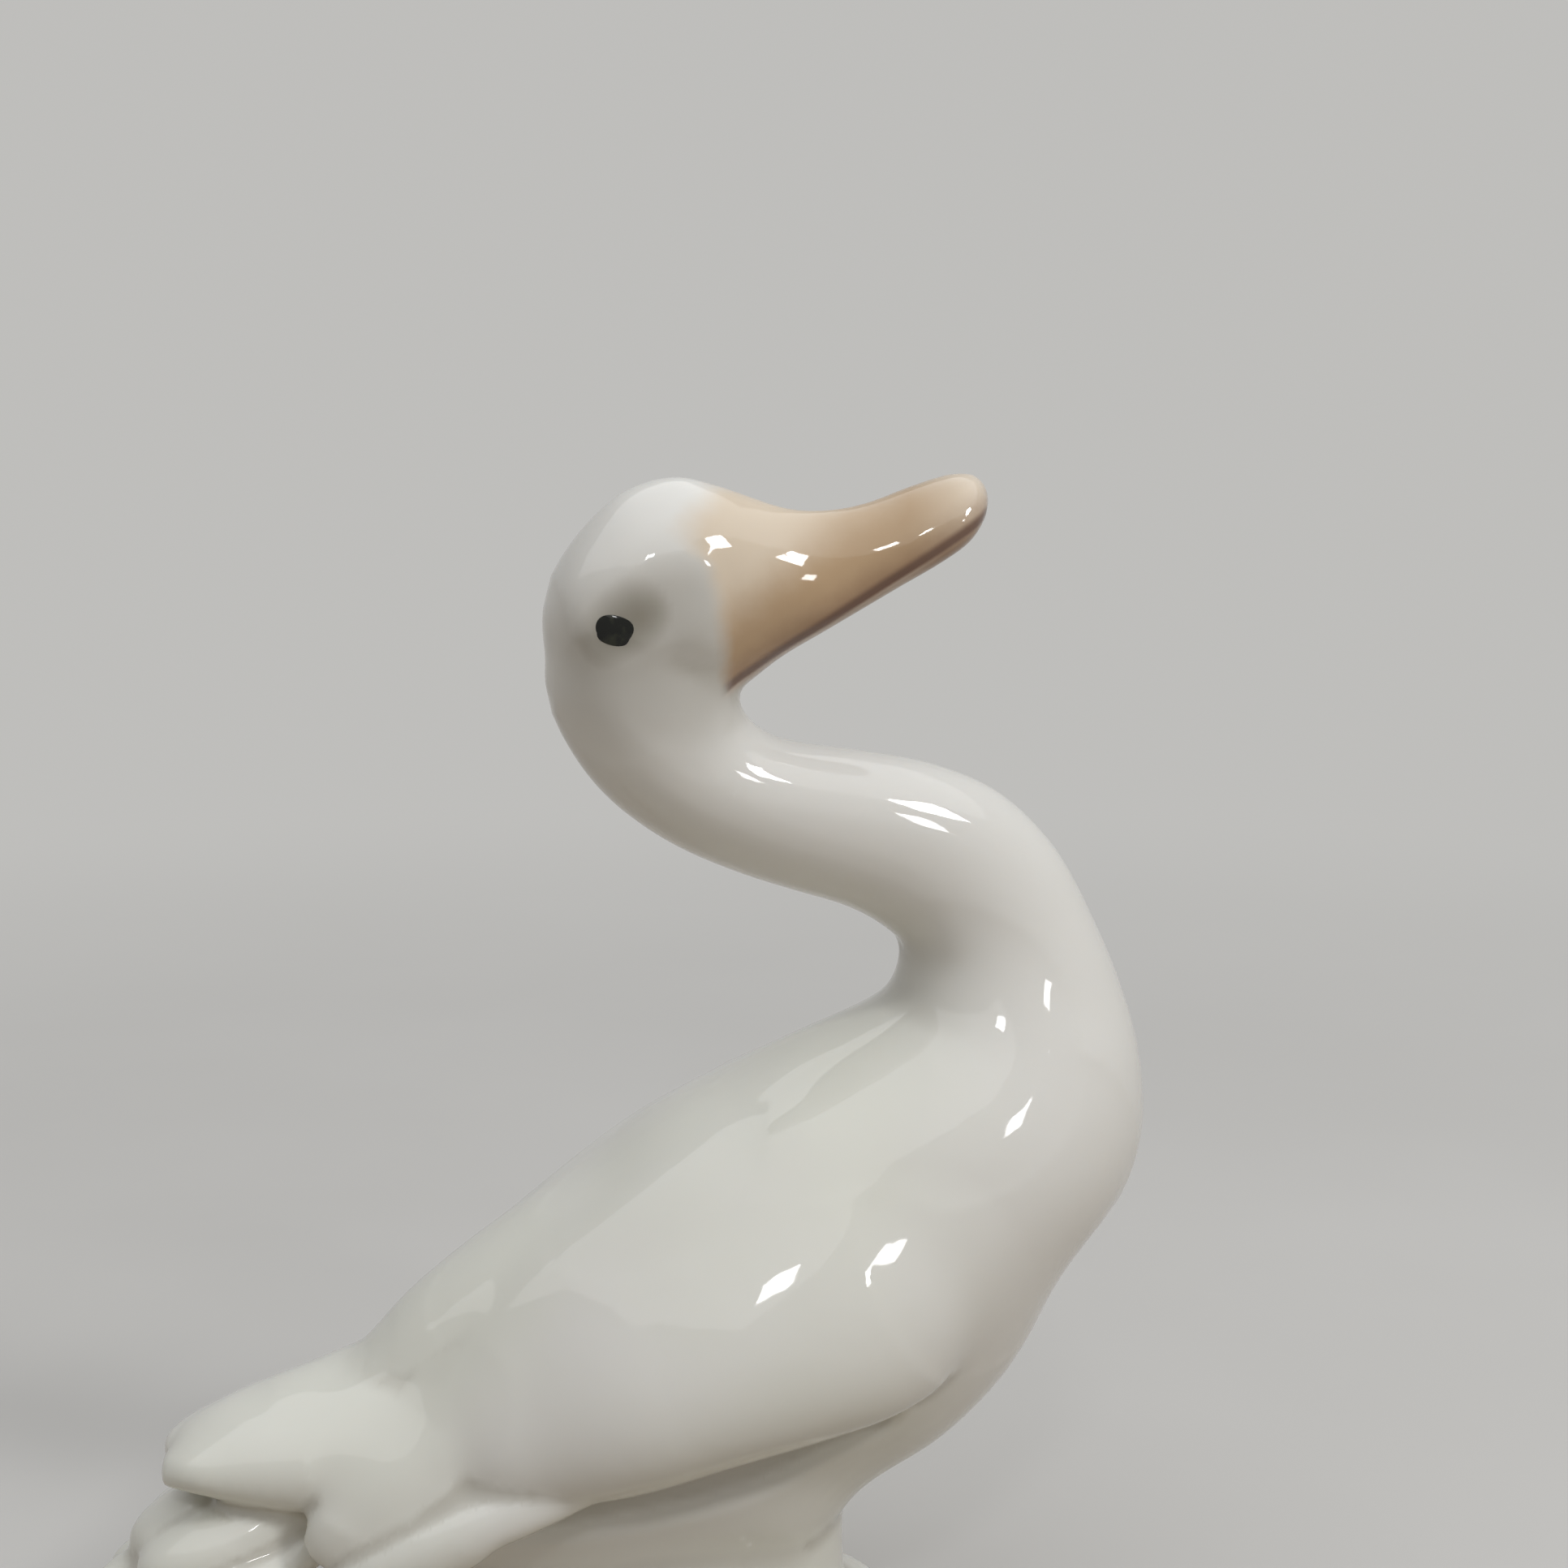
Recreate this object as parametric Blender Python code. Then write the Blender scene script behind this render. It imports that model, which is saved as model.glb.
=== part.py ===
"""White porcelain duck on a low oval base, cast and glazed in one piece.

Frame: +X is the way the bill points, +Z is up, and the origin is the middle of
the base's underside. The figure is the same on both sides of the XZ plane.

Each member is drawn on a grid of its own, in plain units, and the grid is then
fitted to the member's real sizes, which are the driving dimensions below.
"""

from dataclasses import dataclass
from math import cos, pi, radians, sin

import bmesh
import bpy
import numpy as np
from mathutils import Vector

NODE_NAME = "porcelain_duck"

# Base, in metres
BASE_LENGTH = 0.061
BASE_WIDTH = 0.046
BASE_HEIGHT = 0.0100
BASE_EDGE = 0.0040
BASE_CROWN = 0.001
FOOT_INSET = 0.0008

# Stem between the base and the belly
STEM_LENGTH = 0.042
STEM_WIDTH = 0.030
STEM_FLARE = 0.003
STEM_FORWARD = 0.002

# Body: rump to breast, side to side, and belly to the root of the neck
BODY_LENGTH = 0.1033
BODY_WIDTH = 0.046
BODY_HEIGHT = 0.0748
BODY_FORWARD = 0.005
BELLY_RISE = 0.0010

# Neck: how far it swings back and rises from its root, and its thickness
NECK_REACH = 0.0553
NECK_RISE = 0.0439
NECK_THICKNESS = 0.0184

# Head and bill
HEAD_LENGTH = 0.0228
HEAD_HEIGHT = 0.0275
HEAD_WIDTH = 0.0215
BILL_LENGTH = 0.0305
BILL_DEPTH = 0.0190
BILL_WIDTH = 0.0158
SOCKET_DEPTH = 0.0006
SOCKET_RADIUS = 0.0050

# Wings
WING_BULGE = 0.020
WING_DROOP = 0.3
SHOULDER_BULGE = 0.0016
SHOULDER_RADIUS = 0.016
FEATHER_LENGTH = 0.0408
FEATHER_WIDTH = 0.0115
FEATHER_THICKNESS = 0.0065
UNDERCUT_DEPTH = 0.0028
UNDERCUT_RADIUS = 0.0048

# Tail
TAIL_FEATHERS = 5
TAIL_LENGTH = 0.039
TAIL_COVERTS = 3
COVERT_LENGTH = 0.0338
COVERT_RISE = 0.0032
COVERT_WIDTH = 0.0140
COVERT_THICKNESS = 0.0084
TAIL_FEATHER_WIDTH = 0.0105
TAIL_FEATHER_THICKNESS = 0.0058
TAIL_STEP = 0.0016
TAIL_SPREAD = radians(44.0)
TAIL_DIP = radians(17.0)
CROSSING_WIDTH = 0.0120
CROSSING_THICKNESS = 0.0055

# Skin of the cast
RING_SIDES = 48
LEAF_RINGS = 10
VOXEL = 0.0008
SMOOTH_PASSES = 8
TRIANGLES = 9500
EVEN_PASSES = 3

GLAZE_WHITE = (0.83, 0.82, 0.79, 1.0)
GLAZE_ROUGHNESS = 0.08


@dataclass(frozen=True)
class Section:
    """One drawn cross-section: its outline points on the middle plane and its half width.

    A droop above zero moves the widest place down towards the low point.
    """

    high: tuple
    low: tuple
    half_width: float
    droop: float = 0.0


@dataclass(frozen=True)
class Ring:
    """A real cross-section: centre, half size across and up, and droop."""

    centre: Vector
    across: Vector
    up: Vector
    droop: float = 0.0


@dataclass(frozen=True)
class Grid:
    """A drawing grid: where its origin stands, and real over drawn size.

    Reach scales where the sections stand and girth scales their own size.
    """

    origin: Vector
    reach: Vector
    girth: Vector

    def place(self, x, y, z):
        """Return the real place of a drawn point."""
        return self.origin + Vector((x * self.reach.x, y * self.reach.y, z * self.reach.z))

    def ring(self, section):
        """Return the real ring of a drawn section."""
        middle_x = (section.high[0] + section.low[0]) / 2
        middle_z = (section.high[1] + section.low[1]) / 2
        half_x = (section.high[0] - section.low[0]) / 2
        half_z = (section.high[1] - section.low[1]) / 2
        across = Vector((0.0, section.half_width * self.girth.y, 0.0))
        up = Vector((half_x * self.girth.x, 0.0, half_z * self.girth.z))
        return Ring(self.place(middle_x, 0.0, middle_z), across, up, section.droop)


# Trunk: x forward from the middle of the base, z up from the belly
TRUNK = [
    Section((-49.0, 21.5), (-46.5, 18.0), 4.5),
    Section((-42.9, 28.6), (-34.0, 10.0), 10.5),
    Section((-33.9, 38.2), (-18.0, 2.0), 15.5),
    Section((-26.9, 43.7), (-1.0, 0.0), 18.5, -0.1),
    Section((-19.1, 48.7), (12.0, 2.5), 20.5, -0.15),
    Section((-11.8, 53.2), (19.6, 11.7), 22.0, -0.2),
    Section((-4.2, 58.7), (29.9, 18.0), 22.8, -0.15),
    Section((4.3, 62.8), (38.0, 26.3), 23.0, -0.1),
    Section((10.5, 65.8), (44.4, 38.0), 22.3),
    Section((16.5, 68.3), (51.0, 45.9), 20.6),
    Section((20.9, 70.0), (54.3, 54.2), 18.2),
    Section((24.5, 71.8), (54.2, 63.0), 15.6),
    Section((24.8, 74.8), (52.3, 71.0), 13.0),
]

# Neck: drawn from the middle of the trunk's last section
NECK = [
    Section((-12.9, 4.3), (10.0, 7.1), 11.0),
    Section((-16.0, 7.3), (5.0, 16.1), 9.8),
    Section((-20.5, 9.8), (-1.7, 22.6), 9.3),
    Section((-26.5, 11.8), (-9.5, 26.1), 9.2),
    Section((-33.0, 14.1), (-17.5, 27.8), 9.1),
    Section((-40.0, 17.3), (-24.5, 28.9), 9.0),
    Section((-46.0, 21.4), (-29.0, 30.1), 9.0),
    Section((-50.5, 26.1), (-32.0, 32.4), 9.2),
    Section((-54.0, 32.3), (-33.0, 34.6), 9.8),
    Section((-55.3, 38.1), (-33.5, 39.1), 9.6),
    Section((-51.0, 43.6), (-37.0, 43.9), 6.5),
]
NECK_THIN = 18.4

# Head: drawn from its own middle, which the neck's top carries
HEAD_ON_NECK = (-44.0, 48.0)
HEAD = [
    Section((-11.4, -3.0), (-11.3, -7.4), 3.0),
    Section((-9.7, 1.3), (-7.5, -13.0), 7.8),
    Section((-6.5, 5.8), (-3.0, -15.8), 10.0),
    Section((-2.0, 9.8), (2.0, -16.0), 10.75),
    Section((3.5, 11.5), (7.0, -15.0), 10.4),
    Section((8.0, 10.7), (11.4, -12.4), 9.2),
]

# Eye socket, on the head's grid: a hollow from the eye forward
SOCKET = ((-4.0, 10.5, -4.5), (4.0, 10.0, -1.0))

# Bill: drawn from the middle of the head's last section
BILL = [
    Section((2.3, 10.1), (5.9, -8.2), 7.9, 0.15),
    Section((6.8, 8.7), (10.4, -5.5), 7.1, 0.35),
    Section((11.3, 8.4), (14.9, -2.8), 6.7, 0.45),
    Section((16.3, 9.2), (19.4, -0.2), 7.0, 0.45),
    Section((21.3, 11.0), (23.8, 2.2), 7.5, 0.4),
    Section((25.8, 12.4), (27.5, 4.5), 7.0, 0.3),
    Section((28.8, 12.6), (29.7, 7.2), 4.7, 0.2),
    Section((30.3, 11.4), (30.5, 9.2), 1.6),
]

# Wing, on the trunk's grid: upper edge, lower edge, and share of the bulge
WING = [
    ((35.0, 10.0, 58.0), (33.0, 12.0, 44.0), 0.20),
    ((28.0, 11.0, 65.0), (27.0, 17.0, 32.5), 0.62),
    ((19.0, 11.0, 65.5), (20.0, 19.5, 28.5), 0.85),
    ((9.0, 10.5, 62.5), (11.0, 21.0, 26.8), 1.00),
    ((-4.0, 9.0, 56.5), (0.0, 22.0, 24.8), 0.98),
    ((-15.0, 7.0, 49.5), (-12.0, 21.5, 22.0), 0.85),
    ((-25.0, 3.5, 42.2), (-23.0, 19.0, 20.5), 0.72),
    ((-34.0, 0.5, 33.5), (-31.0, 15.8, 20.5), 0.58),
    ((-43.0, -1.0, 29.1), (-41.0, 13.6, 20.0), 0.54),
    ((-52.0, -1.2, 26.2), (-50.0, 11.4, 20.8), 0.40),
    ((-58.3, -0.8, 23.4), (-57.5, 8.6, 21.8), 0.24),
    ((-61.2, 0.8, 21.8), (-61.2, 5.2, 21.4), 0.12),
]

# Shoulder mass on the wing, a line from its rear end to its front end
SHOULDER = ((-8.0, 24.0, 34.0), (20.0, 23.0, 42.0))

# Hollow below the wing's lower edge
UNDERCUT = ((-24.0, 18.5, 17.0), (18.0, 20.5, 26.0))

# Secondary feathers on the wing: root, middle and tip, and share of the full width
FEATHERS = [
    ((-9.0, 14.0, 33.5), (-28.5, 15.2, 24.8), (-43.8, 13.6, 16.2), 1.0),
    ((-8.0, 18.6, 26.5), (-24.0, 19.2, 20.2), (-42.0, 16.4, 12.4), 0.62),
]

# Soft places where the cast runs smoothly from one member into the next:
# drawn place on the trunk's grid, radius, and smoothing passes
SOFT_PLACES = [
    ((34.0, 20.0, 50.0), 20.0, 90),
    ((26.0, 14.0, 68.0), 17.0, 90),
    ((10.0, 12.0, 66.0), 15.0, 60),
    ((-8.0, 10.0, 57.0), 15.0, 60),
    ((-24.0, 8.0, 43.0), 9.0, 25),
    ((-2.0, 8.0, 3.0), 15.0, 40),
    ((-39.0, 1.0, 31.5), 7.0, 15),
    ((-45.0, 1.0, 29.0), 8.0, 25),
    ((-54.0, 1.0, 25.0), 7.0, 25),
    ((-31.0, 17.0, 32.0), 8.0, 47),
    ((-38.0, 15.0, 25.5), 7.5, 77),
]

# The same on the head's grid, where the neck runs into the nape and the cheeks
SOFT_HEAD_PLACES = [
    ((-10.5, 0.0, -7.0), 7.5, 30),
    ((-5.0, 8.5, -13.0), 7.5, 50),
    ((4.0, 7.5, -13.5), 5.0, 18),
]

# Lobe that joins the two wing tips, on the trunk's grid: root, middle and tip
CROSSING = ((-34.0, 0.0, 31.0), (-48.0, 0.0, 27.2), (-60.8, 0.0, 22.4))


def between(before, start, end, after, share):
    """Return the Catmull-Rom value at a share of the way from start to end."""
    square = share ** 2
    cube = share ** 3
    return (
        start * 2
        + (end - before) * share
        + (before * 2 - start * 5 + end * 4 - after) * square
        + (start * 3 - before - end * 3 + after) * cube
    ) / 2


def smooth_rings(rings, steps):
    """Return steps rings for each stretch, along one smooth curve through the rings."""
    padded = [rings[0], *rings, rings[-1]]
    result = []
    for four in zip(padded, padded[1:], padded[2:], padded[3:]):
        for step in range(steps):
            share = step / steps
            parts = ("centre", "across", "up", "droop")
            values = [between(*(getattr(ring, part) for ring in four), share) for part in parts]
            result.append(Ring(*values))
    result.append(rings[-1])
    return result


def add_ring(bm, ring):
    """Add one closed loop of edges and return them."""
    made = bmesh.ops.create_circle(bm, segments=RING_SIDES, radius=1.0)
    for vert in made["verts"]:
        side, rise = vert.co.x, vert.co.y
        vert.co = ring.centre + ring.across * side + ring.up * (rise - ring.droop * side ** 2)
    return list({edge for vert in made["verts"] for edge in vert.link_edges})


def loft(bm, rings, steps=4):
    """Add a closed skin through the rings."""
    loops = [add_ring(bm, ring) for ring in smooth_rings(rings, steps)]
    for before, after in zip(loops, loops[1:]):
        bmesh.ops.bridge_loops(bm, edges=before + after)
    bmesh.ops.contextual_create(bm, geom=loops[0])
    bmesh.ops.contextual_create(bm, geom=loops[-1])


def leaf(bm, points, normal, width, thickness):
    """Add a feather lobe along three points, flat across its normal, with a round tip."""
    root, halfway, tip = points
    sideways = (tip - root).cross(normal).normalized()
    outward = sideways.cross(tip - root).normalized()
    rings = []
    for index in range(LEAF_RINGS + 1):
        # Sine spacing crowds the rings towards the round tip
        share = 0.001 + 0.998 * sin(index / LEAF_RINGS * pi / 2)
        fullness = (1.0 - abs(2 * share - 1.0) ** 3) ** 0.5
        bend = 4 * share * (1 - share)
        place = root.lerp(tip, share) + (halfway - (root + tip) / 2) * bend
        rings.append(Ring(place, sideways * width / 2 * fullness, outward * thickness / 2 * fullness))
    loft(bm, rings, steps=1)


def oval_ring(height, length, width, forward=0.0):
    """Return a level ring of the base or stem."""
    return Ring(Vector((forward, 0.0, height)), Vector((0.0, width / 2, 0.0)), Vector((length / 2, 0.0, 0.0)))


def add_base(bm):
    """Add the low plinth, from below its foot up to its crown."""
    levels = [(-FOOT_INSET, 2 * FOOT_INSET), (0.0, FOOT_INSET), (FOOT_INSET, 0.3 * FOOT_INSET)]
    wall_top = BASE_HEIGHT - BASE_CROWN - BASE_EDGE
    for step in range(7):
        turn = step / 6 * pi / 2
        levels.append((wall_top + BASE_EDGE * sin(turn), BASE_EDGE * (1 - cos(turn))))
    rings = [oval_ring(height, BASE_LENGTH - 2 * inset, BASE_WIDTH - 2 * inset) for height, inset in levels]
    for share in (0.7, 0.4, 0.05):
        height = BASE_HEIGHT - BASE_CROWN * share ** 2
        inner = 2 * BASE_EDGE
        rings.append(oval_ring(height, (BASE_LENGTH - inner) * share, (BASE_WIDTH - inner) * share))
    loft(bm, rings, steps=1)


def add_stem(bm, trunk):
    """Add the stem from inside the base to inside the belly, flared at its foot."""
    top = trunk.place(0.0, 0.0, 16.0).z
    rings = []
    for share in (0.0, 0.15, 0.3, 0.45, 0.6, 0.8, 1.0):
        height = BASE_HEIGHT / 3 + (top - BASE_HEIGHT / 3) * share
        flare = 2 * STEM_FLARE * max(0.0, 1 - share / 0.5) ** 2
        rings.append(oval_ring(height, STEM_LENGTH + flare, STEM_WIDTH + flare, STEM_FORWARD))
    loft(bm, rings, steps=2)


def add_bird(bm, trunk, neck, head, bill):
    """Add the trunk with the neck, and the head with the bill."""
    loft(bm, [trunk.ring(section) for section in TRUNK] + [neck.ring(section) for section in NECK])
    loft(bm, [head.ring(section) for section in HEAD] + [bill.ring(section) for section in BILL])


def mirrored(point, side):
    """Return a point drawn on the left, on the side asked for."""
    return (point[0], point[1] * side, point[2])


def add_wing(bm, trunk, side):
    """Add one wing from its shoulder to the tip of its long primaries, and its feathers."""
    rings = []
    for upper, lower, fullness in WING:
        high = trunk.place(*mirrored(upper, side))
        low = trunk.place(*mirrored(lower, side))
        up = (high - low) / 2
        outward = Vector((0.0, side, 0.25))
        outward = (outward - outward.project(up)).normalized()
        rings.append(Ring((high + low) / 2, outward * WING_BULGE / 2 * fullness, up, WING_DROOP * fullness))
    loft(bm, rings)

    drawn_length = (trunk.place(*FEATHERS[0][2]) - trunk.place(*FEATHERS[0][0])).length
    length = FEATHER_LENGTH / drawn_length
    for root, halfway, tip, share in FEATHERS:
        start = trunk.place(*mirrored(root, side))
        bend = start + (trunk.place(*mirrored(halfway, side)) - start) * length
        end = start + (trunk.place(*mirrored(tip, side)) - start) * length
        outward = Vector((-0.15, side, 0.35))
        leaf(bm, (start, bend, end), outward, FEATHER_WIDTH * share, FEATHER_THICKNESS)


def add_fan(bm, root, count, length, width, thickness):
    """Add one row of tail feathers that spread from root, each step outward lying lower."""
    upward = Vector((-sin(TAIL_DIP), 0.0, cos(TAIL_DIP)))
    for index in range(count):
        place = index - (count - 1) / 2
        turn = place / (TAIL_FEATHERS - 1) * TAIL_SPREAD
        heading = Vector((-cos(TAIL_DIP) * cos(turn), sin(turn), -sin(TAIL_DIP) * cos(turn)))
        tip = root + heading * length - upward * TAIL_STEP * abs(place)
        leaf(bm, (root, (root + tip) / 2, tip), upward, width, thickness)


def add_tail(bm, trunk):
    """Add the long tail feathers, the coverts over them, and the lobe between the wing tips."""
    upward = Vector((-sin(TAIL_DIP), 0.0, cos(TAIL_DIP)))
    spine = [trunk.place(*point) for point in CROSSING]
    leaf(bm, spine, upward, CROSSING_WIDTH, CROSSING_THICKNESS)
    root = trunk.place(-32.0, 0.0, 19.0)
    add_fan(bm, root, TAIL_FEATHERS, TAIL_LENGTH, TAIL_FEATHER_WIDTH, TAIL_FEATHER_THICKNESS)
    add_fan(bm, root + upward * COVERT_RISE, TAIL_COVERTS, COVERT_LENGTH, COVERT_WIDTH, COVERT_THICKNESS)


def drawn_size(sections):
    """Return a drawing's own length, width and height."""
    points = [point for section in sections for point in (section.high, section.low)]
    length = max(point[0] for point in points) - min(point[0] for point in points)
    height = max(point[1] for point in points) - min(point[1] for point in points)
    return Vector((length, 2 * max(section.half_width for section in sections), height))


def middle(section):
    """Return the drawn middle of a section as x, y, z."""
    return ((section.high[0] + section.low[0]) / 2, 0.0, (section.high[1] + section.low[1]) / 2)


def make_grids():
    """Return the grids of trunk, neck, head and bill, each standing on the one before."""
    drawn = drawn_size(TRUNK)
    scale = Vector((BODY_LENGTH / drawn.x, BODY_WIDTH / drawn.y, BODY_HEIGHT / drawn.z))
    trunk = Grid(Vector((BODY_FORWARD, 0.0, BASE_HEIGHT + BELLY_RISE)), scale, scale)

    swing = -min(section.high[0] for section in NECK)
    rise = max(section.low[1] for section in NECK)
    reach = Vector((NECK_REACH / swing, 1.0, NECK_RISE / rise))
    girth = NECK_THICKNESS / NECK_THIN
    neck = Grid(trunk.place(*middle(TRUNK[-1])), reach, Vector((girth, girth, girth)))

    drawn = drawn_size(HEAD)
    scale = Vector((HEAD_LENGTH / drawn.x, HEAD_WIDTH / drawn.y, HEAD_HEIGHT / drawn.z))
    head = Grid(neck.place(HEAD_ON_NECK[0], 0.0, HEAD_ON_NECK[1]), scale, scale)

    length = BILL_LENGTH / max(section.low[0] for section in BILL)
    root_depth = (Vector(BILL[0].high) - Vector(BILL[0].low)).length
    depth = BILL_DEPTH / root_depth
    width = BILL_WIDTH / drawn_size(BILL).y
    origin = head.place(*middle(HEAD[-1]))
    bill = Grid(origin, Vector((length, 1.0, length)), Vector((depth, width, depth)))
    return trunk, neck, head, bill


def new_object(name, bm):
    """Make a mesh object from a bmesh and link it to the scene."""
    mesh = bpy.data.meshes.new(name)
    bm.to_mesh(mesh)
    bm.free()
    made = bpy.data.objects.new(name, mesh)
    bpy.context.scene.collection.objects.link(made)
    return made


def evaluated_bmesh(item):
    """Return a bmesh of an object with its modifiers applied."""
    graph = bpy.context.evaluated_depsgraph_get()
    bm = bmesh.new()
    bm.from_object(item, graph)
    return bm


def fuse(rough):
    """Return a bmesh of the rough cast's one outer skin, lightly smoothed."""
    remesh = rough.modifiers.new("fuse", "REMESH")
    remesh.mode = "VOXEL"
    remesh.voxel_size = VOXEL
    smooth = rough.modifiers.new("smooth", "SMOOTH")
    smooth.iterations = SMOOTH_PASSES
    smooth.factor = 0.5
    return evaluated_bmesh(rough)


def soften(bm, centre, radius, passes):
    """Smooth the skin inside a ball."""
    near = [vert for vert in bm.verts if (vert.co - centre).length < radius]
    for _ in range(passes):
        bmesh.ops.smooth_vert(bm, verts=near, factor=0.5, use_axis_x=True, use_axis_y=True, use_axis_z=True)


def press(bm, start, end, radius, push):
    """Move the skin near the line from start to end by push, fading out at the radius."""
    places = np.array([vert.co[:] for vert in bm.verts])
    line = np.array(end - start)
    offset = places - np.array(start)
    share = np.clip(offset @ line / max(line @ line, 1e-12), 0.0, 1.0)
    distance = np.linalg.norm(offset - share[:, None] * line, axis=1)
    weight = np.clip(1.0 - (distance / radius) ** 2, 0.0, 1.0) ** 2
    for vert, amount in zip(bm.verts, weight):
        vert.co += push * float(amount)


def sculpt(bm, trunk, head):
    """Soften the joins and press in the eye sockets and the wings' undersides."""
    scale = trunk.reach.x
    for side in (-1.0, 1.0):
        for place, radius, passes in SOFT_HEAD_PLACES:
            soften(bm, head.place(*mirrored(place, side)), radius * head.reach.x, passes)
        for place, radius, passes in SOFT_PLACES:
            soften(bm, trunk.place(*mirrored(place, side)), radius * scale, passes)
        outward = Vector((0.0, side, 0.0))
        rear, front = (trunk.place(*mirrored(point, side)) for point in SHOULDER)
        press(bm, rear, front, SHOULDER_RADIUS, outward * SHOULDER_BULGE)
        rear, front = (head.place(*mirrored(point, side)) for point in SOCKET)
        press(bm, rear, front, SOCKET_RADIUS, outward * -SOCKET_DEPTH)
        rear, front = (trunk.place(*mirrored(point, side)) for point in UNDERCUT)
        press(bm, rear, front, UNDERCUT_RADIUS, (outward * -1.0 + Vector((0.0, 0.0, 0.15))) * UNDERCUT_DEPTH)


def thin(fine):
    """Return a bmesh of the fine skin with about the wanted number of triangles.

    Evening out the triangles pulls them off the surface a little, so they are
    laid back onto the fine skin.
    """
    decimate = fine.modifiers.new("thin", "DECIMATE")
    decimate.ratio = TRIANGLES / (2 * len(fine.data.polygons))
    bm = evaluated_bmesh(fine)
    fine.modifiers.remove(decimate)
    for _ in range(EVEN_PASSES):
        bmesh.ops.smooth_vert(bm, verts=bm.verts[:], factor=0.5, use_axis_x=True, use_axis_y=True, use_axis_z=True)
    coarse = new_object("coarse_cast", bm)
    wrap = coarse.modifiers.new("wrap", "SHRINKWRAP")
    wrap.target = fine
    wrap.wrap_method = "NEAREST_SURFACEPOINT"
    bm = evaluated_bmesh(coarse)
    bpy.data.objects.remove(coarse)
    return bm


def cut_foot(bm):
    """Cut the skin off flat at the floor and close the underside."""
    everything = bm.verts[:] + bm.edges[:] + bm.faces[:]
    bmesh.ops.bisect_plane(
        bm,
        geom=everything,
        dist=VOXEL / 4,
        plane_co=(0.0, 0.0, 0.0),
        plane_no=(0.0, 0.0, 1.0),
        use_snap_center=True,
        clear_inner=True,
    )
    rim = [edge for edge in bm.edges if edge.is_boundary]
    bmesh.ops.contextual_create(bm, geom=rim)
    bmesh.ops.triangulate(bm, faces=bm.faces[:])
    bmesh.ops.recalc_face_normals(bm, faces=bm.faces[:])


def glaze_material():
    """Return the white glaze."""
    material = bpy.data.materials.new("white_glaze")
    material.use_nodes = True
    shader = material.node_tree.nodes["Principled BSDF"]
    shader.inputs["Base Color"].default_value = GLAZE_WHITE
    shader.inputs["Roughness"].default_value = GLAZE_ROUGHNESS
    shader.inputs["Metallic"].default_value = 0.0
    return material


def main():
    """Build the duck."""
    for leftover in list(bpy.data.objects):
        bpy.data.objects.remove(leftover)
    trunk, neck, head, bill = make_grids()
    bm = bmesh.new()
    add_base(bm)
    add_stem(bm, trunk)
    add_bird(bm, trunk, neck, head, bill)
    for side in (-1.0, 1.0):
        add_wing(bm, trunk, side)
    add_tail(bm, trunk)
    bmesh.ops.recalc_face_normals(bm, faces=bm.faces[:])
    rough = new_object("rough_cast", bm)
    skin = fuse(rough)
    bpy.data.objects.remove(rough)
    sculpt(skin, trunk, head)
    fine = new_object("fine_cast", skin)
    skin = thin(fine)
    bpy.data.objects.remove(fine)
    cut_foot(skin)
    duck = new_object(NODE_NAME, skin)
    duck.data.shade_smooth()
    duck.data.materials.append(glaze_material())


main()
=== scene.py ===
"""White porcelain duck: its glaze, fired colours and eyes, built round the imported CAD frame.

Frame: +X is the side the bill points to, +Y is the duck's left, +Z is up, in metres.
The origin is the middle of the base's underside. The duck is the same on both sides
of the XZ plane. Each member is drawn on a grid of its own, in plain units, and the
grid is fitted to the member's real sizes.
"""

import logging
from dataclasses import dataclass
from enum import Enum
from math import cos, pi, radians, sin, sqrt
from typing import TypeVar

import bmesh
import bpy
import numpy as np
from mathutils import Euler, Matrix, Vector
from mathutils.bvhtree import BVHTree


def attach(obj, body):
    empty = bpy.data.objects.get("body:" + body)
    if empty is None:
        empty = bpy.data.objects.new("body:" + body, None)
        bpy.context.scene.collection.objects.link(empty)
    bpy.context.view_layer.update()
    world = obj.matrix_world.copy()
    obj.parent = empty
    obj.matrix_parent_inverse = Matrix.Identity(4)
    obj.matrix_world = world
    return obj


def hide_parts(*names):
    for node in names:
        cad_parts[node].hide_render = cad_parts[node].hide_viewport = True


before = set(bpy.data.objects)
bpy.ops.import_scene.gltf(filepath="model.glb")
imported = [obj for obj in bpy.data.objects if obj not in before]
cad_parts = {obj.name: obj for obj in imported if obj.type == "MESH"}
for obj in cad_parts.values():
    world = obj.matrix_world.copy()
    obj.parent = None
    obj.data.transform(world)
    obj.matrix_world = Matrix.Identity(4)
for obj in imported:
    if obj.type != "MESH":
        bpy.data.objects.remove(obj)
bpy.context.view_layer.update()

LOG = logging.getLogger("duck")
CAD_NODE = "porcelain_duck"
BODY = "root"
# Attribute of painted shade in the creases, where the glaze also pools
CREASE_POOL_AND_SHADE_MASK = "crease_pool_and_shade"
SHADE_MASK = "shade"
MM = 0.001

Point = tuple[float, float, float]
Flat = tuple[float, float]
Colour = tuple[float, float, float, float]
Socket = bpy.types.NodeSocket
Value = TypeVar("Value", float, Vector)


class Side(Enum):
    """Which side of the duck a paired form is on."""

    LEFT = 1.0
    RIGHT = -1.0

    def of(self, point: Point) -> Point:
        """Return a point that is drawn on the left, moved to this side."""
        return (point[0], point[1] * self.value, point[2])

    @property
    def outward(self) -> Vector:
        """Return the level direction away from the duck on this side."""
        return Vector((0.0, self.value, 0.0))


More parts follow.
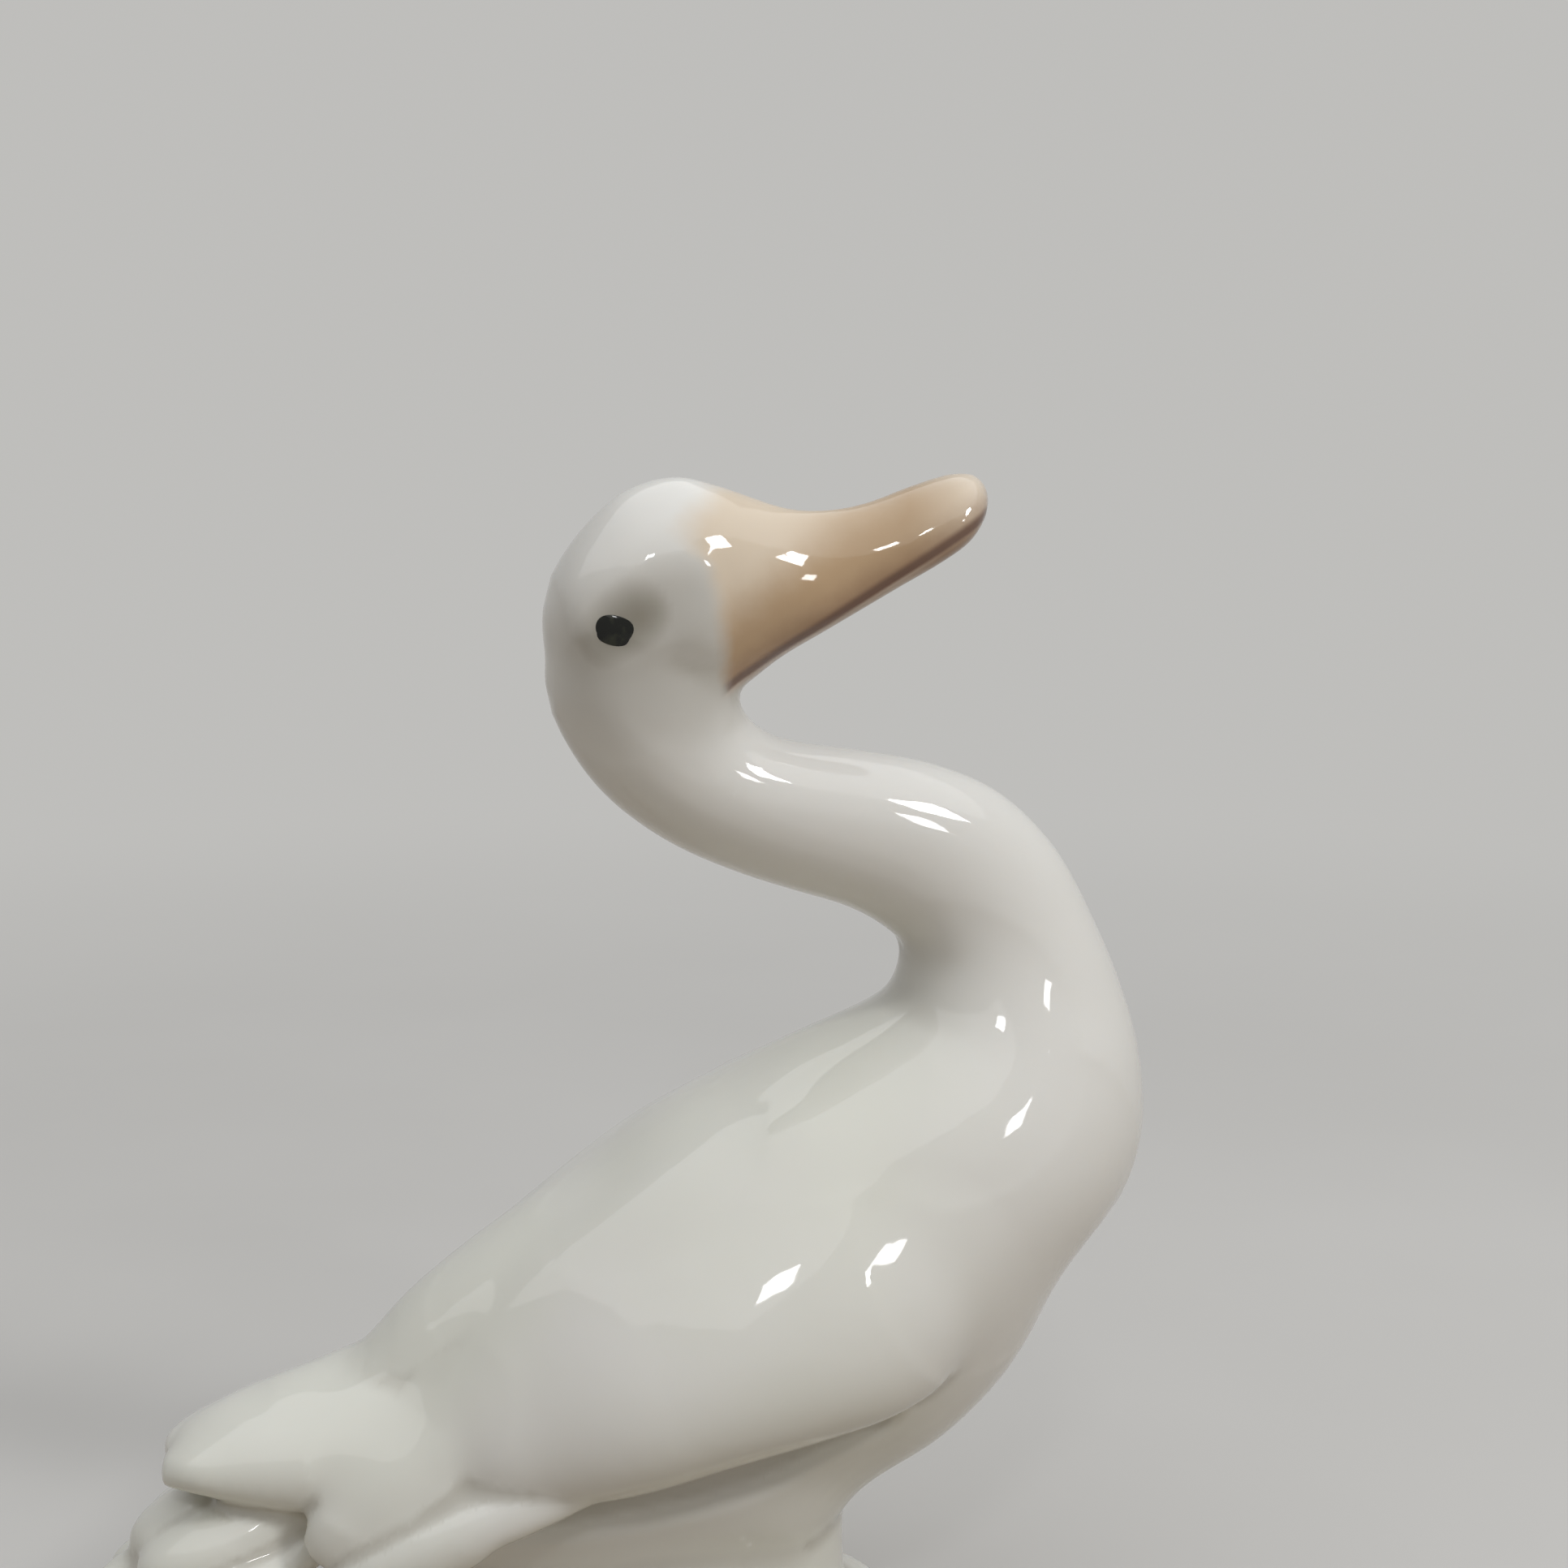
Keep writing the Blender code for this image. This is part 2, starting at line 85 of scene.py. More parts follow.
@dataclass(frozen=True)
class Section:
    """One drawn cross-section of a member.

    Attributes:
        high: Outline point on the middle plane at the back or top, as x and z.
        low: The opposite outline point, as x and z.
        half: Half the width across the duck.
        droop: How far the widest place lies down towards the low point, as a
            share of half the height; below zero it lies up.
    """

    high: Flat
    low: Flat
    half: float
    droop: float = 0.0

    @property
    def middle(self) -> Point:
        """Return the drawn middle of the section."""
        return ((self.high[0] + self.low[0]) / 2, 0.0, (self.high[1] + self.low[1]) / 2)


@dataclass(frozen=True)
class Ring:
    """One real cross-section: its centre, half its size across and up, and its droop."""

    centre: Vector
    across: Vector
    up: Vector
    droop: float = 0.0


@dataclass(frozen=True)
class SoftSpot:
    """Where a drawing is softened: the drawn place and radius, and the smoothing's spread in millimetres."""

    place: Point
    radius: float
    spread: float


@dataclass(frozen=True)
class SoftBall:
    """A real ball in which the skin is smoothed, and how far the smoothing spreads."""

    centre: Vector
    radius: float
    spread: float


@dataclass(frozen=True)
class Stroke:
    """A stroke of the tool over the skin: its drawn line, how far it reaches, and its depth or strength."""

    line: tuple[Point, ...]
    reach: float
    amount: float


@dataclass(frozen=True)
class Grid:
    """A drawing grid: where its origin stands, and real over drawn size.

    Attributes:
        origin: Real place of the drawn origin.
        reach: Scale of the places of the sections.
        girth: Scale of the sections' own size.
    """

    origin: Vector
    reach: Vector
    girth: Vector

    def place(self, point: Point) -> Vector:
        """Return the real place of a drawn point."""
        return self.origin + Vector([drawn * scale for drawn, scale in zip(point, self.reach)])

    def ring(self, section: Section) -> Ring:
        """Return the real ring of a drawn section.

        Args:
            section: The section, drawn on this grid.

        Returns:
            The ring in real sizes, with the section's own droop.
        """
        half_x = (section.high[0] - section.low[0]) / 2
        half_z = (section.high[1] - section.low[1]) / 2
        across = Vector((0.0, section.half * self.girth.y, 0.0))
        up = Vector((half_x * self.girth.x, 0.0, half_z * self.girth.z))
        return Ring(self.place(section.middle), across, up, section.droop)

    def rings(self, sections: tuple[Section, ...]) -> list[Ring]:
        """Return the real rings of drawn sections."""
        return [self.ring(section) for section in sections]

    def line(self, points: tuple[Point, ...], side: Side) -> list[Vector]:
        """Return the real places, on one side, of points drawn on the left."""
        return [self.place(side.of(point)) for point in points]

    def soft_ball(self, spot: SoftSpot, side: Side) -> SoftBall:
        """Return the real ball, on one side, of a soft spot drawn on the left."""
        return SoftBall(self.place(side.of(spot.place)), spot.radius * self.reach.x, spot.spread * MM)


def curve_value(before: Value, start: Value, end: Value, after: Value, share: float) -> Value:
    """Return the Catmull-Rom value at a share of the way from start to end.

    Args:
        before: The value before the stretch, a number or a vector.
        start: The value at its start.
        end: The value at its end.
        after: The value after it.
        share: How far along the stretch, from 0 to 1.

    Returns:
        The value, of the same kind as those given.
    """
    square = share ** 2
    cube = share ** 3
    return (
        start * 2
        + (end - before) * share
        + (before * 2 - start * 5 + end * 4 - after) * square
        + (start * 3 - before - end * 3 + after) * cube
    ) / 2


def drawn_size(sections: tuple[Section, ...]) -> Vector:
    """Return the size of a drawing.

    Args:
        sections: The drawn sections of one member.

    Returns:
        Length, width and height, in the drawing's own units.
    """
    points = [point for section in sections for point in (section.high, section.low)]
    length = max(x for x, _ in points) - min(x for x, _ in points)
    height = max(z for _, z in points) - min(z for _, z in points)
    return Vector((length, 2 * max(section.half for section in sections), height))


def fitted_grid(
    origin: Vector, sections: tuple[Section, ...], length: float, width: float, height: float
) -> Grid:
    """Return the grid on which a drawing takes its real size.

    Args:
        origin: Real place of the drawn origin.
        sections: The drawn sections of the member.
        length: Its real length.
        width: Its real width.
        height: Its real height.

    Returns:
        The grid, with one scale for places and girths.
    """
    drawn = drawn_size(sections)
    scale = Vector((length / drawn.x, width / drawn.y, height / drawn.z))
    return Grid(origin, scale, scale)


class Clay:
    """The rough mass into which the members are laid before they are fused.

    Attributes:
        sides: Number of edges round a member.
        lobe_rings: Number of stretches along a feather lobe.
        lobe_end: Share of a lobe's length that is left off at each end, where its width is nothing.
        lobe_bluntness: How blunt its ends are; 2 gives an ellipse.
    """

    sides: int = 64
    lobe_rings: int = 14
    lobe_end: float = 0.001
    lobe_bluntness: int = 3

    def __init__(self) -> None:
        """Start with nothing laid."""
        self.bm = bmesh.new()

    def loop(self, ring: Ring) -> list[bmesh.types.BMEdge]:
        """Add one closed loop of edges for a ring.

        Args:
            ring: The cross-section to follow.

        Returns:
            The loop's edges.
        """
        made = bmesh.ops.create_circle(self.bm, segments=self.sides, radius=1.0)
        for vert in made["verts"]:
            side, rise = vert.co.x, vert.co.y
            vert.co = ring.centre + ring.across * side + ring.up * (rise - ring.droop * side ** 2)
        return list({edge for vert in made["verts"] for edge in vert.link_edges})

    def between(self, rings: list[Ring], steps: int) -> list[Ring]:
        """Return more rings, on one smooth curve through those given.

        Args:
            rings: The cross-sections in order.
            steps: How many rings each stretch between two of them gives.

        Returns:
            The rings from the first to the last.
        """
        padded = [rings[0], *rings, rings[-1]]
        result = []
        for four in zip(padded, padded[1:], padded[2:], padded[3:]):
            for step in range(steps):
                parts = [
                    curve_value(*(getattr(ring, part) for ring in four), step / steps)
                    for part in ("centre", "across", "up", "droop")
                ]
                result.append(Ring(*parts))
        result.append(rings[-1])
        return result

    def loft(self, rings: list[Ring], steps: int = 5) -> None:
        """Add a closed skin through the rings.

        Args:
            rings: The cross-sections in order.
            steps: Loops laid for each stretch between two rings.
        """
        loops = [self.loop(ring) for ring in self.between(rings, steps)]
        for before, after in zip(loops, loops[1:]):
            bmesh.ops.bridge_loops(self.bm, edges=before + after)
        bmesh.ops.contextual_create(self.bm, geom=loops[0])
        bmesh.ops.contextual_create(self.bm, geom=loops[-1])

    def lobe(
        self, spine: tuple[Vector, Vector, Vector], face: Vector, width: float, thickness: float
    ) -> None:
        """Add a feather lobe with round ends.

        Args:
            spine: Root, middle and tip.
            face: Direction that the lobe's flat side looks to.
            width: Greatest width.
            thickness: Greatest thickness.
        """
        root, halfway, tip = spine
        sideways = (tip - root).cross(face).normalized()
        outward = sideways.cross(tip - root).normalized()
        rings = []
        for index in range(self.lobe_rings + 1):
            # Sine spacing crowds the rings towards the round tip
            share = self.lobe_end + (1 - 2 * self.lobe_end) * sin(index / self.lobe_rings * pi / 2)
            fullness = sqrt(1.0 - abs(2 * share - 1.0) ** self.lobe_bluntness)
            bend = 4 * share * (1 - share)
            place = root.lerp(tip, share) + (halfway - (root + tip) / 2) * bend
            rings.append(Ring(place, sideways * width / 2 * fullness, outward * thickness / 2 * fullness))
        self.loft(rings, steps=1)

    def level_ring(self, height: float, length: float, width: float, forward: float = 0.0) -> Ring:
        """Return a level oval ring of the base or the stem."""
        across = Vector((0.0, width / 2, 0.0))
        return Ring(Vector((forward, 0.0, height)), across, Vector((length / 2, 0.0, 0.0)))


class Skin:
    """The fused outer skin of the cast, and the tools that shape it.

    Attributes:
        voxel: Size of the remesh grid.
        first_spread: How far the first smoothing spreads over the whole skin.
    """

    voxel: float = 0.69 * MM
    first_spread: float = 2.1 * MM

    def __init__(self, clay: Clay, soft_balls: list[SoftBall]) -> None:
        """Fuse the clay into one skin, smooth it lightly all over and well inside the soft balls.

        Args:
            clay: The members, laid through one another.
            soft_balls: Where one member runs smoothly into the next.
        """
        bmesh.ops.recalc_face_normals(clay.bm, faces=clay.bm.faces[:])
        rough = new_object("rough_cast", clay.bm)
        remesh = rough.modifiers.new("fuse", "REMESH")
        remesh.mode = "VOXEL"
        remesh.voxel_size = self.voxel
        fused = new_object("fused_cast", evaluated(rough))
        bpy.data.objects.remove(rough)
        self.add_smoothing(fused, self.first_spread)
        places = np.array([vert.co[:] for vert in fused.data.vertices])
        for index, ball in enumerate(soft_balls):
            inside = np.linalg.norm(places - np.array(ball.centre), axis=1) < ball.radius
            group = fused.vertex_groups.new(name=f"soft_{index}")
            group.add(np.nonzero(inside)[0].tolist(), 1.0, "REPLACE")
            self.add_smoothing(fused, ball.spread, group.name)
        self.bm = evaluated(fused)
        bpy.data.objects.remove(fused)

    def add_smoothing(self, cast: bpy.types.Object, spread: float, group: str = "") -> None:
        """Add a Smooth modifier.

        Args:
            cast: The object to smooth.
            spread: How far the smoothing reaches; it takes the square of
                spread over voxel passes, on any grid.
            group: The vertex group that may move, or all vertices where empty.
        """
        smooth = cast.modifiers.new("smooth", "SMOOTH")
        smooth.factor = 0.5
        smooth.iterations = round((spread / self.voxel) ** 2)
        smooth.vertex_group = group

    def weights(self, line: list[Vector], radius: float) -> np.ndarray:
        """Return how near each vertex is to a line.

        Args:
            line: Points of the line in order.
            radius: Distance at which the nearness ends.

        Returns:
            A number for each vertex, from 1 on the line to 0 at the radius and beyond.
        """
        places = np.array([vert.co[:] for vert in self.bm.verts])
        distance = np.full(len(places), np.inf)
        for start, end in zip(line, line[1:]):
            run = np.array(end - start)
            offset = places - np.array(start)
            share = np.clip(offset @ run / (run @ run), 0.0, 1.0)
            distance = np.minimum(distance, np.linalg.norm(offset - share[:, None] * run, axis=1))
        return np.clip(1.0 - (distance / radius) ** 2, 0.0, 1.0) ** 2

    def press(self, line: list[Vector], radius: float, push: Vector) -> None:
        """Move the skin near a line by a fixed push, fading out at the radius."""
        for vert, amount in zip(self.bm.verts, self.weights(line, radius)):
            vert.co += push * float(amount)

    def raise_by(self, line: list[Vector], radius: float, height: float) -> None:
        """Raise the skin near a line along its own normals.

        Args:
            line: Points of the line in order.
            radius: Distance at which the raising fades out.
            height: How far the skin rises on the line; below zero it sinks.
        """
        self.bm.normal_update()
        amounts = self.weights(line, radius)
        moves = [vert.normal * float(amount) for vert, amount in zip(self.bm.verts, amounts)]
        for vert, move in zip(self.bm.verts, moves):
            vert.co += move * height

    def cut_flat(self) -> None:
        """Cut the skin off flat at the floor and close the underside."""
        bmesh.ops.bisect_plane(
            self.bm,
            geom=self.bm.verts[:] + self.bm.edges[:] + self.bm.faces[:],
            dist=self.voxel / 8,
            plane_co=(0.0, 0.0, 0.0),
            plane_no=(0.0, 0.0, 1.0),
            use_snap_center=True,
            clear_inner=True,
        )
        rim = [edge for edge in self.bm.edges if edge.is_boundary]
        bmesh.ops.contextual_create(self.bm, geom=rim)
        bmesh.ops.recalc_face_normals(self.bm, faces=self.bm.faces[:])

    def tree(self) -> BVHTree:
        """Return a search tree of the skin for placing things on it."""
        return BVHTree.FromBMesh(self.bm)


def linked(name: str, data: bpy.types.ID) -> bpy.types.Object:
    """Make an object and link it to the scene.

    Args:
        name: Its name.
        data: The mesh, light or camera that it holds.

    Returns:
        The new object.
    """
    made = bpy.data.objects.new(name, data)
    bpy.context.scene.collection.objects.link(made)
    return made


def new_object(name: str, bm: bmesh.types.BMesh) -> bpy.types.Object:
    """Make a mesh object and link it to the scene.

    Args:
        name: Name of the mesh and the object.
        bm: The mesh's shape, which is freed.

    Returns:
        The new object.
    """
    mesh = bpy.data.meshes.new(name)
    bm.to_mesh(mesh)
    bm.free()
    return linked(name, mesh)


def evaluated(item: bpy.types.Object) -> bmesh.types.BMesh:
    """Return an object's shape with its modifiers applied.

    Args:
        item: The mesh object.

    Returns:
        A new bmesh.
    """
    bm = bmesh.new()
    bm.from_object(item, bpy.context.evaluated_depsgraph_get())
    return bm


@dataclass
class Plinth:
    """The low oval base with its rounded edge.

    Attributes:
        edge: Radius of the rounded upper edge.
        crown: How far the top rises towards its middle.
        foot_inset: How far the foot is drawn in.
        edge_steps: Stretches laid round the edge.
        foot_shares: Height and inset of each ring of the foot, as shares of foot_inset.
        crown_shares: Size of each ring of the crown, as a share of the top's.
    """

    length: float = 61.0 * MM
    width: float = 46.0 * MM
    height: float = 10.0 * MM
    edge: float = 4.0 * MM
    crown: float = 1.0 * MM
    foot_inset: float = 0.8 * MM
    edge_steps: int = 8
    foot_shares: tuple[Flat, ...] = ((-1.0, 2.0), (0.0, 1.0), (1.0, 0.3))
    crown_shares: tuple[float, ...] = (0.7, 0.4, 0.05)

    def lay(self, clay: Clay) -> None:
        """Lay the base from below its foot up to its crown.

        Args:
            clay: The mass that it is laid into.
        """
        levels = [(rise * self.foot_inset, inward * self.foot_inset) for rise, inward in self.foot_shares]
        wall_top = self.height - self.crown - self.edge
        for step in range(self.edge_steps + 1):
            turn = step / self.edge_steps * pi / 2
            levels.append((wall_top + self.edge * sin(turn), self.edge * (1 - cos(turn))))
        rings = [
            clay.level_ring(height, self.length - 2 * inward, self.width - 2 * inward)
            for height, inward in levels
        ]
        inner = 2 * self.edge
        for share in self.crown_shares:
            height = self.height - self.crown * share ** 2
            rings.append(clay.level_ring(height, (self.length - inner) * share, (self.width - inner) * share))
        clay.loft(rings, steps=1)


@dataclass
class Trunk:
    """The body from rump to breast, up to the root of the neck.

    Attributes:
        forward: How far its grid stands ahead of the base's middle.
        rise: Height of its lowest place above the base.
        sections: Its drawn sections from the rump to the neck's root.
        soft_spots: Where it runs smoothly into its neighbours, drawn on the left.
    """

    plinth: Plinth
    length: float = 103.3 * MM
    width: float = 46.0 * MM
    height: float = 74.8 * MM
    forward: float = 5.0 * MM
    rise: float = 1.0 * MM
    sections: tuple[Section, ...] = (
        Section((-49.0, 21.5), (-46.5, 18.0), 4.5),
        Section((-42.9, 28.6), (-34.0, 10.0), 10.5),
        Section((-33.9, 38.2), (-18.0, 2.0), 15.5),
        Section((-26.9, 43.7), (-1.0, 0.0), 18.5, -0.1),
        Section((-19.1, 48.7), (12.0, 2.5), 20.5, -0.15),
        Section((-11.8, 53.2), (19.6, 11.7), 22.0, -0.2),
        Section((-4.2, 58.7), (29.9, 18.0), 22.8, -0.15),
        Section((4.3, 62.8), (38.0, 26.3), 23.0, -0.1),
        Section((10.5, 65.8), (44.4, 38.0), 22.3),
        Section((16.5, 68.3), (51.0, 45.9), 20.6),
        Section((20.9, 70.0), (54.3, 54.2), 18.2),
        Section((24.5, 71.8), (54.2, 63.0), 15.6),
        Section((24.8, 74.8), (52.3, 71.0), 13.0),
    )
    soft_spots: tuple[SoftSpot, ...] = (
        SoftSpot((34.0, 20.0, 50.0), 20.0, 7.6),
        SoftSpot((26.0, 14.0, 68.0), 17.0, 7.6),
        SoftSpot((10.0, 12.0, 66.0), 15.0, 6.2),
        SoftSpot((-8.0, 10.0, 57.0), 15.0, 6.2),
        SoftSpot((-24.0, 8.0, 43.0), 9.0, 4.0),
        SoftSpot((-2.0, 8.0, 3.0), 15.0, 5.1),
    )

    @property
    def grid(self) -> Grid:
        """Return the trunk's grid: x forward from the base's middle, z up from the belly."""
        origin = Vector((self.forward, 0.0, self.plinth.height + self.rise))
        return fitted_grid(origin, self.sections, self.length, self.width, self.height)

    def rings(self) -> list[Ring]:
        """Return the trunk's real rings."""
        return self.grid.rings(self.sections)

    def soft_balls(self) -> list[SoftBall]:
        """Return the balls where the body runs smoothly into its neighbours."""
        return [self.grid.soft_ball(spot, side) for side in Side for spot in self.soft_spots]


@dataclass
class Stem:
    """The plain stem that carries the belly on the base.

    Attributes:
        flare: How far its foot spreads on each side.
        flare_share: Share of its height over which the foot spreads.
        forward: How far it stands ahead of the base's middle.
        inside_belly: Where it ends, on the trunk's grid.
        levels: Heights of its rings, as shares of its own height.
    """

    plinth: Plinth
    trunk: Trunk
    length: float = 42.0 * MM
    width: float = 30.0 * MM
    flare: float = 3.0 * MM
    flare_share: float = 0.5
    forward: float = 2.0 * MM
    inside_belly: Point = (0.0, 0.0, 16.0)
    levels: tuple[float, ...] = (0.0, 0.15, 0.3, 0.45, 0.6, 0.8, 1.0)

    def lay(self, clay: Clay) -> None:
        """Lay the stem from inside the base to inside the belly, flared at its foot.

        Args:
            clay: The mass that it is laid into.
        """
        top = self.trunk.grid.place(self.inside_belly).z
        bottom = self.plinth.height / 3
        rings = []
        for share in self.levels:
            height = bottom + (top - bottom) * share
            flare = 2 * self.flare * max(0.0, 1 - share / self.flare_share) ** 2
            rings.append(clay.level_ring(height, self.length + flare, self.width + flare, self.forward))
        clay.loft(rings, steps=2)


@dataclass
class Neck:
    """The neck, which swings back from the breast and rises to the head.

    Attributes:
        reach: How far it swings back.
        rise: How far it rises.
        thickness: Its width across, about half-way up.
        drawn_thickness: The thickness that it is drawn with there.
    """

    trunk: Trunk
    reach: float = 55.3 * MM
    rise: float = 43.9 * MM
    thickness: float = 18.4 * MM
    drawn_thickness: float = 18.4
    sections: tuple[Section, ...] = (
        Section((-12.9, 4.3), (10.0, 7.1), 11.0),
        Section((-16.0, 7.3), (5.0, 16.1), 9.8),
        Section((-20.5, 9.8), (-1.7, 22.6), 9.3),
        Section((-26.5, 11.8), (-9.5, 26.1), 9.2),
        Section((-33.0, 14.1), (-17.5, 27.8), 9.1),
        Section((-40.0, 17.3), (-24.5, 28.9), 9.0),
        Section((-46.0, 21.4), (-29.0, 30.1), 9.0),
        Section((-50.5, 26.1), (-32.0, 32.4), 9.2),
        Section((-54.0, 32.3), (-33.0, 34.6), 9.8),
        Section((-55.3, 38.1), (-33.5, 39.1), 9.6),
        Section((-51.0, 43.6), (-37.0, 43.9), 6.5),
    )

    @property
    def grid(self) -> Grid:
        """Return the neck's own grid.

        Returns:
            The grid, which stands on the middle of the trunk's last section.
        """
        swing = -min(section.high[0] for section in self.sections)
        rise = max(section.low[1] for section in self.sections)
        girth = self.thickness / self.drawn_thickness
        root = self.trunk.grid.place(self.trunk.sections[-1].middle)
        return Grid(root, Vector((self.reach / swing, 1.0, self.rise / rise)), Vector((girth, girth, girth)))

    def lay(self, clay: Clay) -> None:
        """Lay the trunk and the neck as one run."""
        clay.loft(self.trunk.rings() + self.grid.rings(self.sections))


@dataclass
class Head:
    """The head, with an eye socket and the ridge of a cheek on each side.

    Attributes:
        on_neck: Where its grid stands on the neck's, as x and z.
        soft_spots: Where the neck runs into it smoothly, drawn on the left.
        socket: The hollow from the left eye forward.
        cheek: The ridge of the left cheek, in front of the socket.
        eye_shade_wash: Painted shade in the left socket round the eye, with some grey pigment smeared there.
        cheek_shade: Fainter painted shade over the left cheek.
    """

    neck: Neck
    length: float = 22.8 * MM
    height: float = 27.5 * MM
    width: float = 21.5 * MM
    on_neck: Flat = (-44.0, 48.0)
    sections: tuple[Section, ...] = (
        Section((-11.4, -3.0), (-11.3, -7.4), 3.0),
        Section((-9.7, 1.3), (-7.5, -13.0), 7.8),
        Section((-6.5, 5.8), (-3.0, -15.8), 10.0),
        Section((-2.0, 9.8), (2.0, -16.0), 10.75),
        Section((3.5, 11.5), (7.0, -15.0), 10.4),
        Section((8.0, 10.7), (11.4, -12.4), 9.2),
    )
    soft_spots: tuple[SoftSpot, ...] = (
        SoftSpot((-10.5, 0.0, -7.0), 7.5, 4.4),
        SoftSpot((-5.0, 8.5, -13.0), 7.5, 5.6),
        SoftSpot((3.0, 7.5, -12.5), 6.5, 4.4),
    )
    socket: Stroke = Stroke(((-4.0, 10.5, -4.5), (3.0, 10.0, -1.0)), 5.0 * MM, 0.7 * MM)
    cheek: Stroke = Stroke(((3.6, 9.8, 0.0), (5.0, 9.8, -3.0), (5.4, 9.3, -5.5)), 4.6 * MM, 0.4 * MM)
    # Painted shade round the eye, with some grey pigment, and fainter painted shade over the cheek
    eye_shade_wash: Stroke = Stroke(((-6.0, 11.0, -6.5), (-1.8, 10.8, -3.6)), 6.4 * MM, 1.0)
    cheek_shade: Stroke = Stroke(((3.5, 9.8, -4.0), (-4.5, 10.0, -8.5), (5.0, 8.5, -11.0)), 11.5 * MM, 0.45)

    @property
    def grid(self) -> Grid:
        """Return the head's grid, which stands on the neck's top."""
        origin = self.neck.grid.place((self.on_neck[0], 0.0, self.on_neck[1]))
        return fitted_grid(origin, self.sections, self.length, self.width, self.height)

    def rings(self) -> list[Ring]:
        """Return the head's real rings."""
        return self.grid.rings(self.sections)

    def soft_balls(self) -> list[SoftBall]:
        """Return the balls where the neck runs into the nape and the cheeks."""
        return [self.grid.soft_ball(spot, side) for side in Side for spot in self.soft_spots]

    def shape(self, skin: Skin) -> None:
        """Hollow the sockets and raise the cheeks.

        Args:
            skin: The skin to shape.
        """
        for side in Side:
            hollow = self.grid.line(self.socket.line, side)
            skin.press(hollow, self.socket.reach, side.outward * -self.socket.amount)
            skin.raise_by(self.grid.line(self.cheek.line, side), self.cheek.reach, self.cheek.amount)

    def eye_shade(self, skin: Skin) -> np.ndarray:
        """Return how strongly painted shade lies on the skin.

        Args:
            skin: The shaped skin.

        Returns:
            A number for each vertex, highest round the eyes and lower over the cheeks.
        """
        shade = np.zeros(len(skin.bm.verts))
        for side in Side:
            eye_and_cheek_shades = [
                stroke.amount * skin.weights(self.grid.line(stroke.line, side), stroke.reach)
                for stroke in (self.eye_shade_wash, self.cheek_shade)
            ]
            shade += np.maximum(*eye_and_cheek_shades)
        return np.clip(shade, 0.0, 1.0).astype(np.float32)


@dataclass
class Bill:
    """The spoon-shaped bill, with the line of its mouth along each side.

    Attributes:
        depth: Its height at the root.
        mouth: The line of the mouth on the left.
    """

    head: Head
    length: float = 30.5 * MM
    depth: float = 19.0 * MM
    width: float = 15.8 * MM
    sections: tuple[Section, ...] = (
        Section((2.3, 10.1), (5.9, -8.2), 7.9, 0.15),
        Section((6.8, 8.7), (10.4, -5.5), 7.1, 0.35),
        Section((11.3, 8.4), (14.9, -2.8), 6.7, 0.45),
        Section((16.3, 9.2), (19.4, -0.2), 7.0, 0.45),
        Section((21.3, 11.0), (23.8, 2.2), 7.5, 0.4),
        Section((25.8, 12.4), (27.5, 4.5), 7.0, 0.3),
        Section((28.8, 12.6), (29.7, 7.2), 4.7, 0.2),
        Section((30.3, 11.4), (30.5, 9.2), 1.6),
    )
    mouth: Stroke = Stroke(
        ((2.0, 6.5, -6.5), (9.5, 6.3, -3.2), (19.0, 6.8, 1.6), (26.5, 6.2, 6.0)), 1.3 * MM, 0.3 * MM
    )

    @property
    def grid(self) -> Grid:
        """Return the bill's own grid.

        Returns:
            The grid, which stands on the middle of the head's last section.
        """
        length = self.length / max(section.low[0] for section in self.sections)
        first = self.sections[0]
        depth = self.depth / (Vector(first.high) - Vector(first.low)).length
        width = self.width / drawn_size(self.sections).y
        origin = self.head.grid.place(self.head.sections[-1].middle)
        return Grid(origin, Vector((length, 1.0, length)), Vector((depth, width, depth)))

    def lay(self, clay: Clay) -> None:
        """Lay the head and the bill as one run."""
        clay.loft(self.head.rings() + self.grid.rings(self.sections))

    def shape(self, skin: Skin) -> None:
        """Sink the line of the mouth into both sides."""
        for side in Side:
            skin.raise_by(self.grid.line(self.mouth.line, side), self.mouth.reach, -self.mouth.amount)


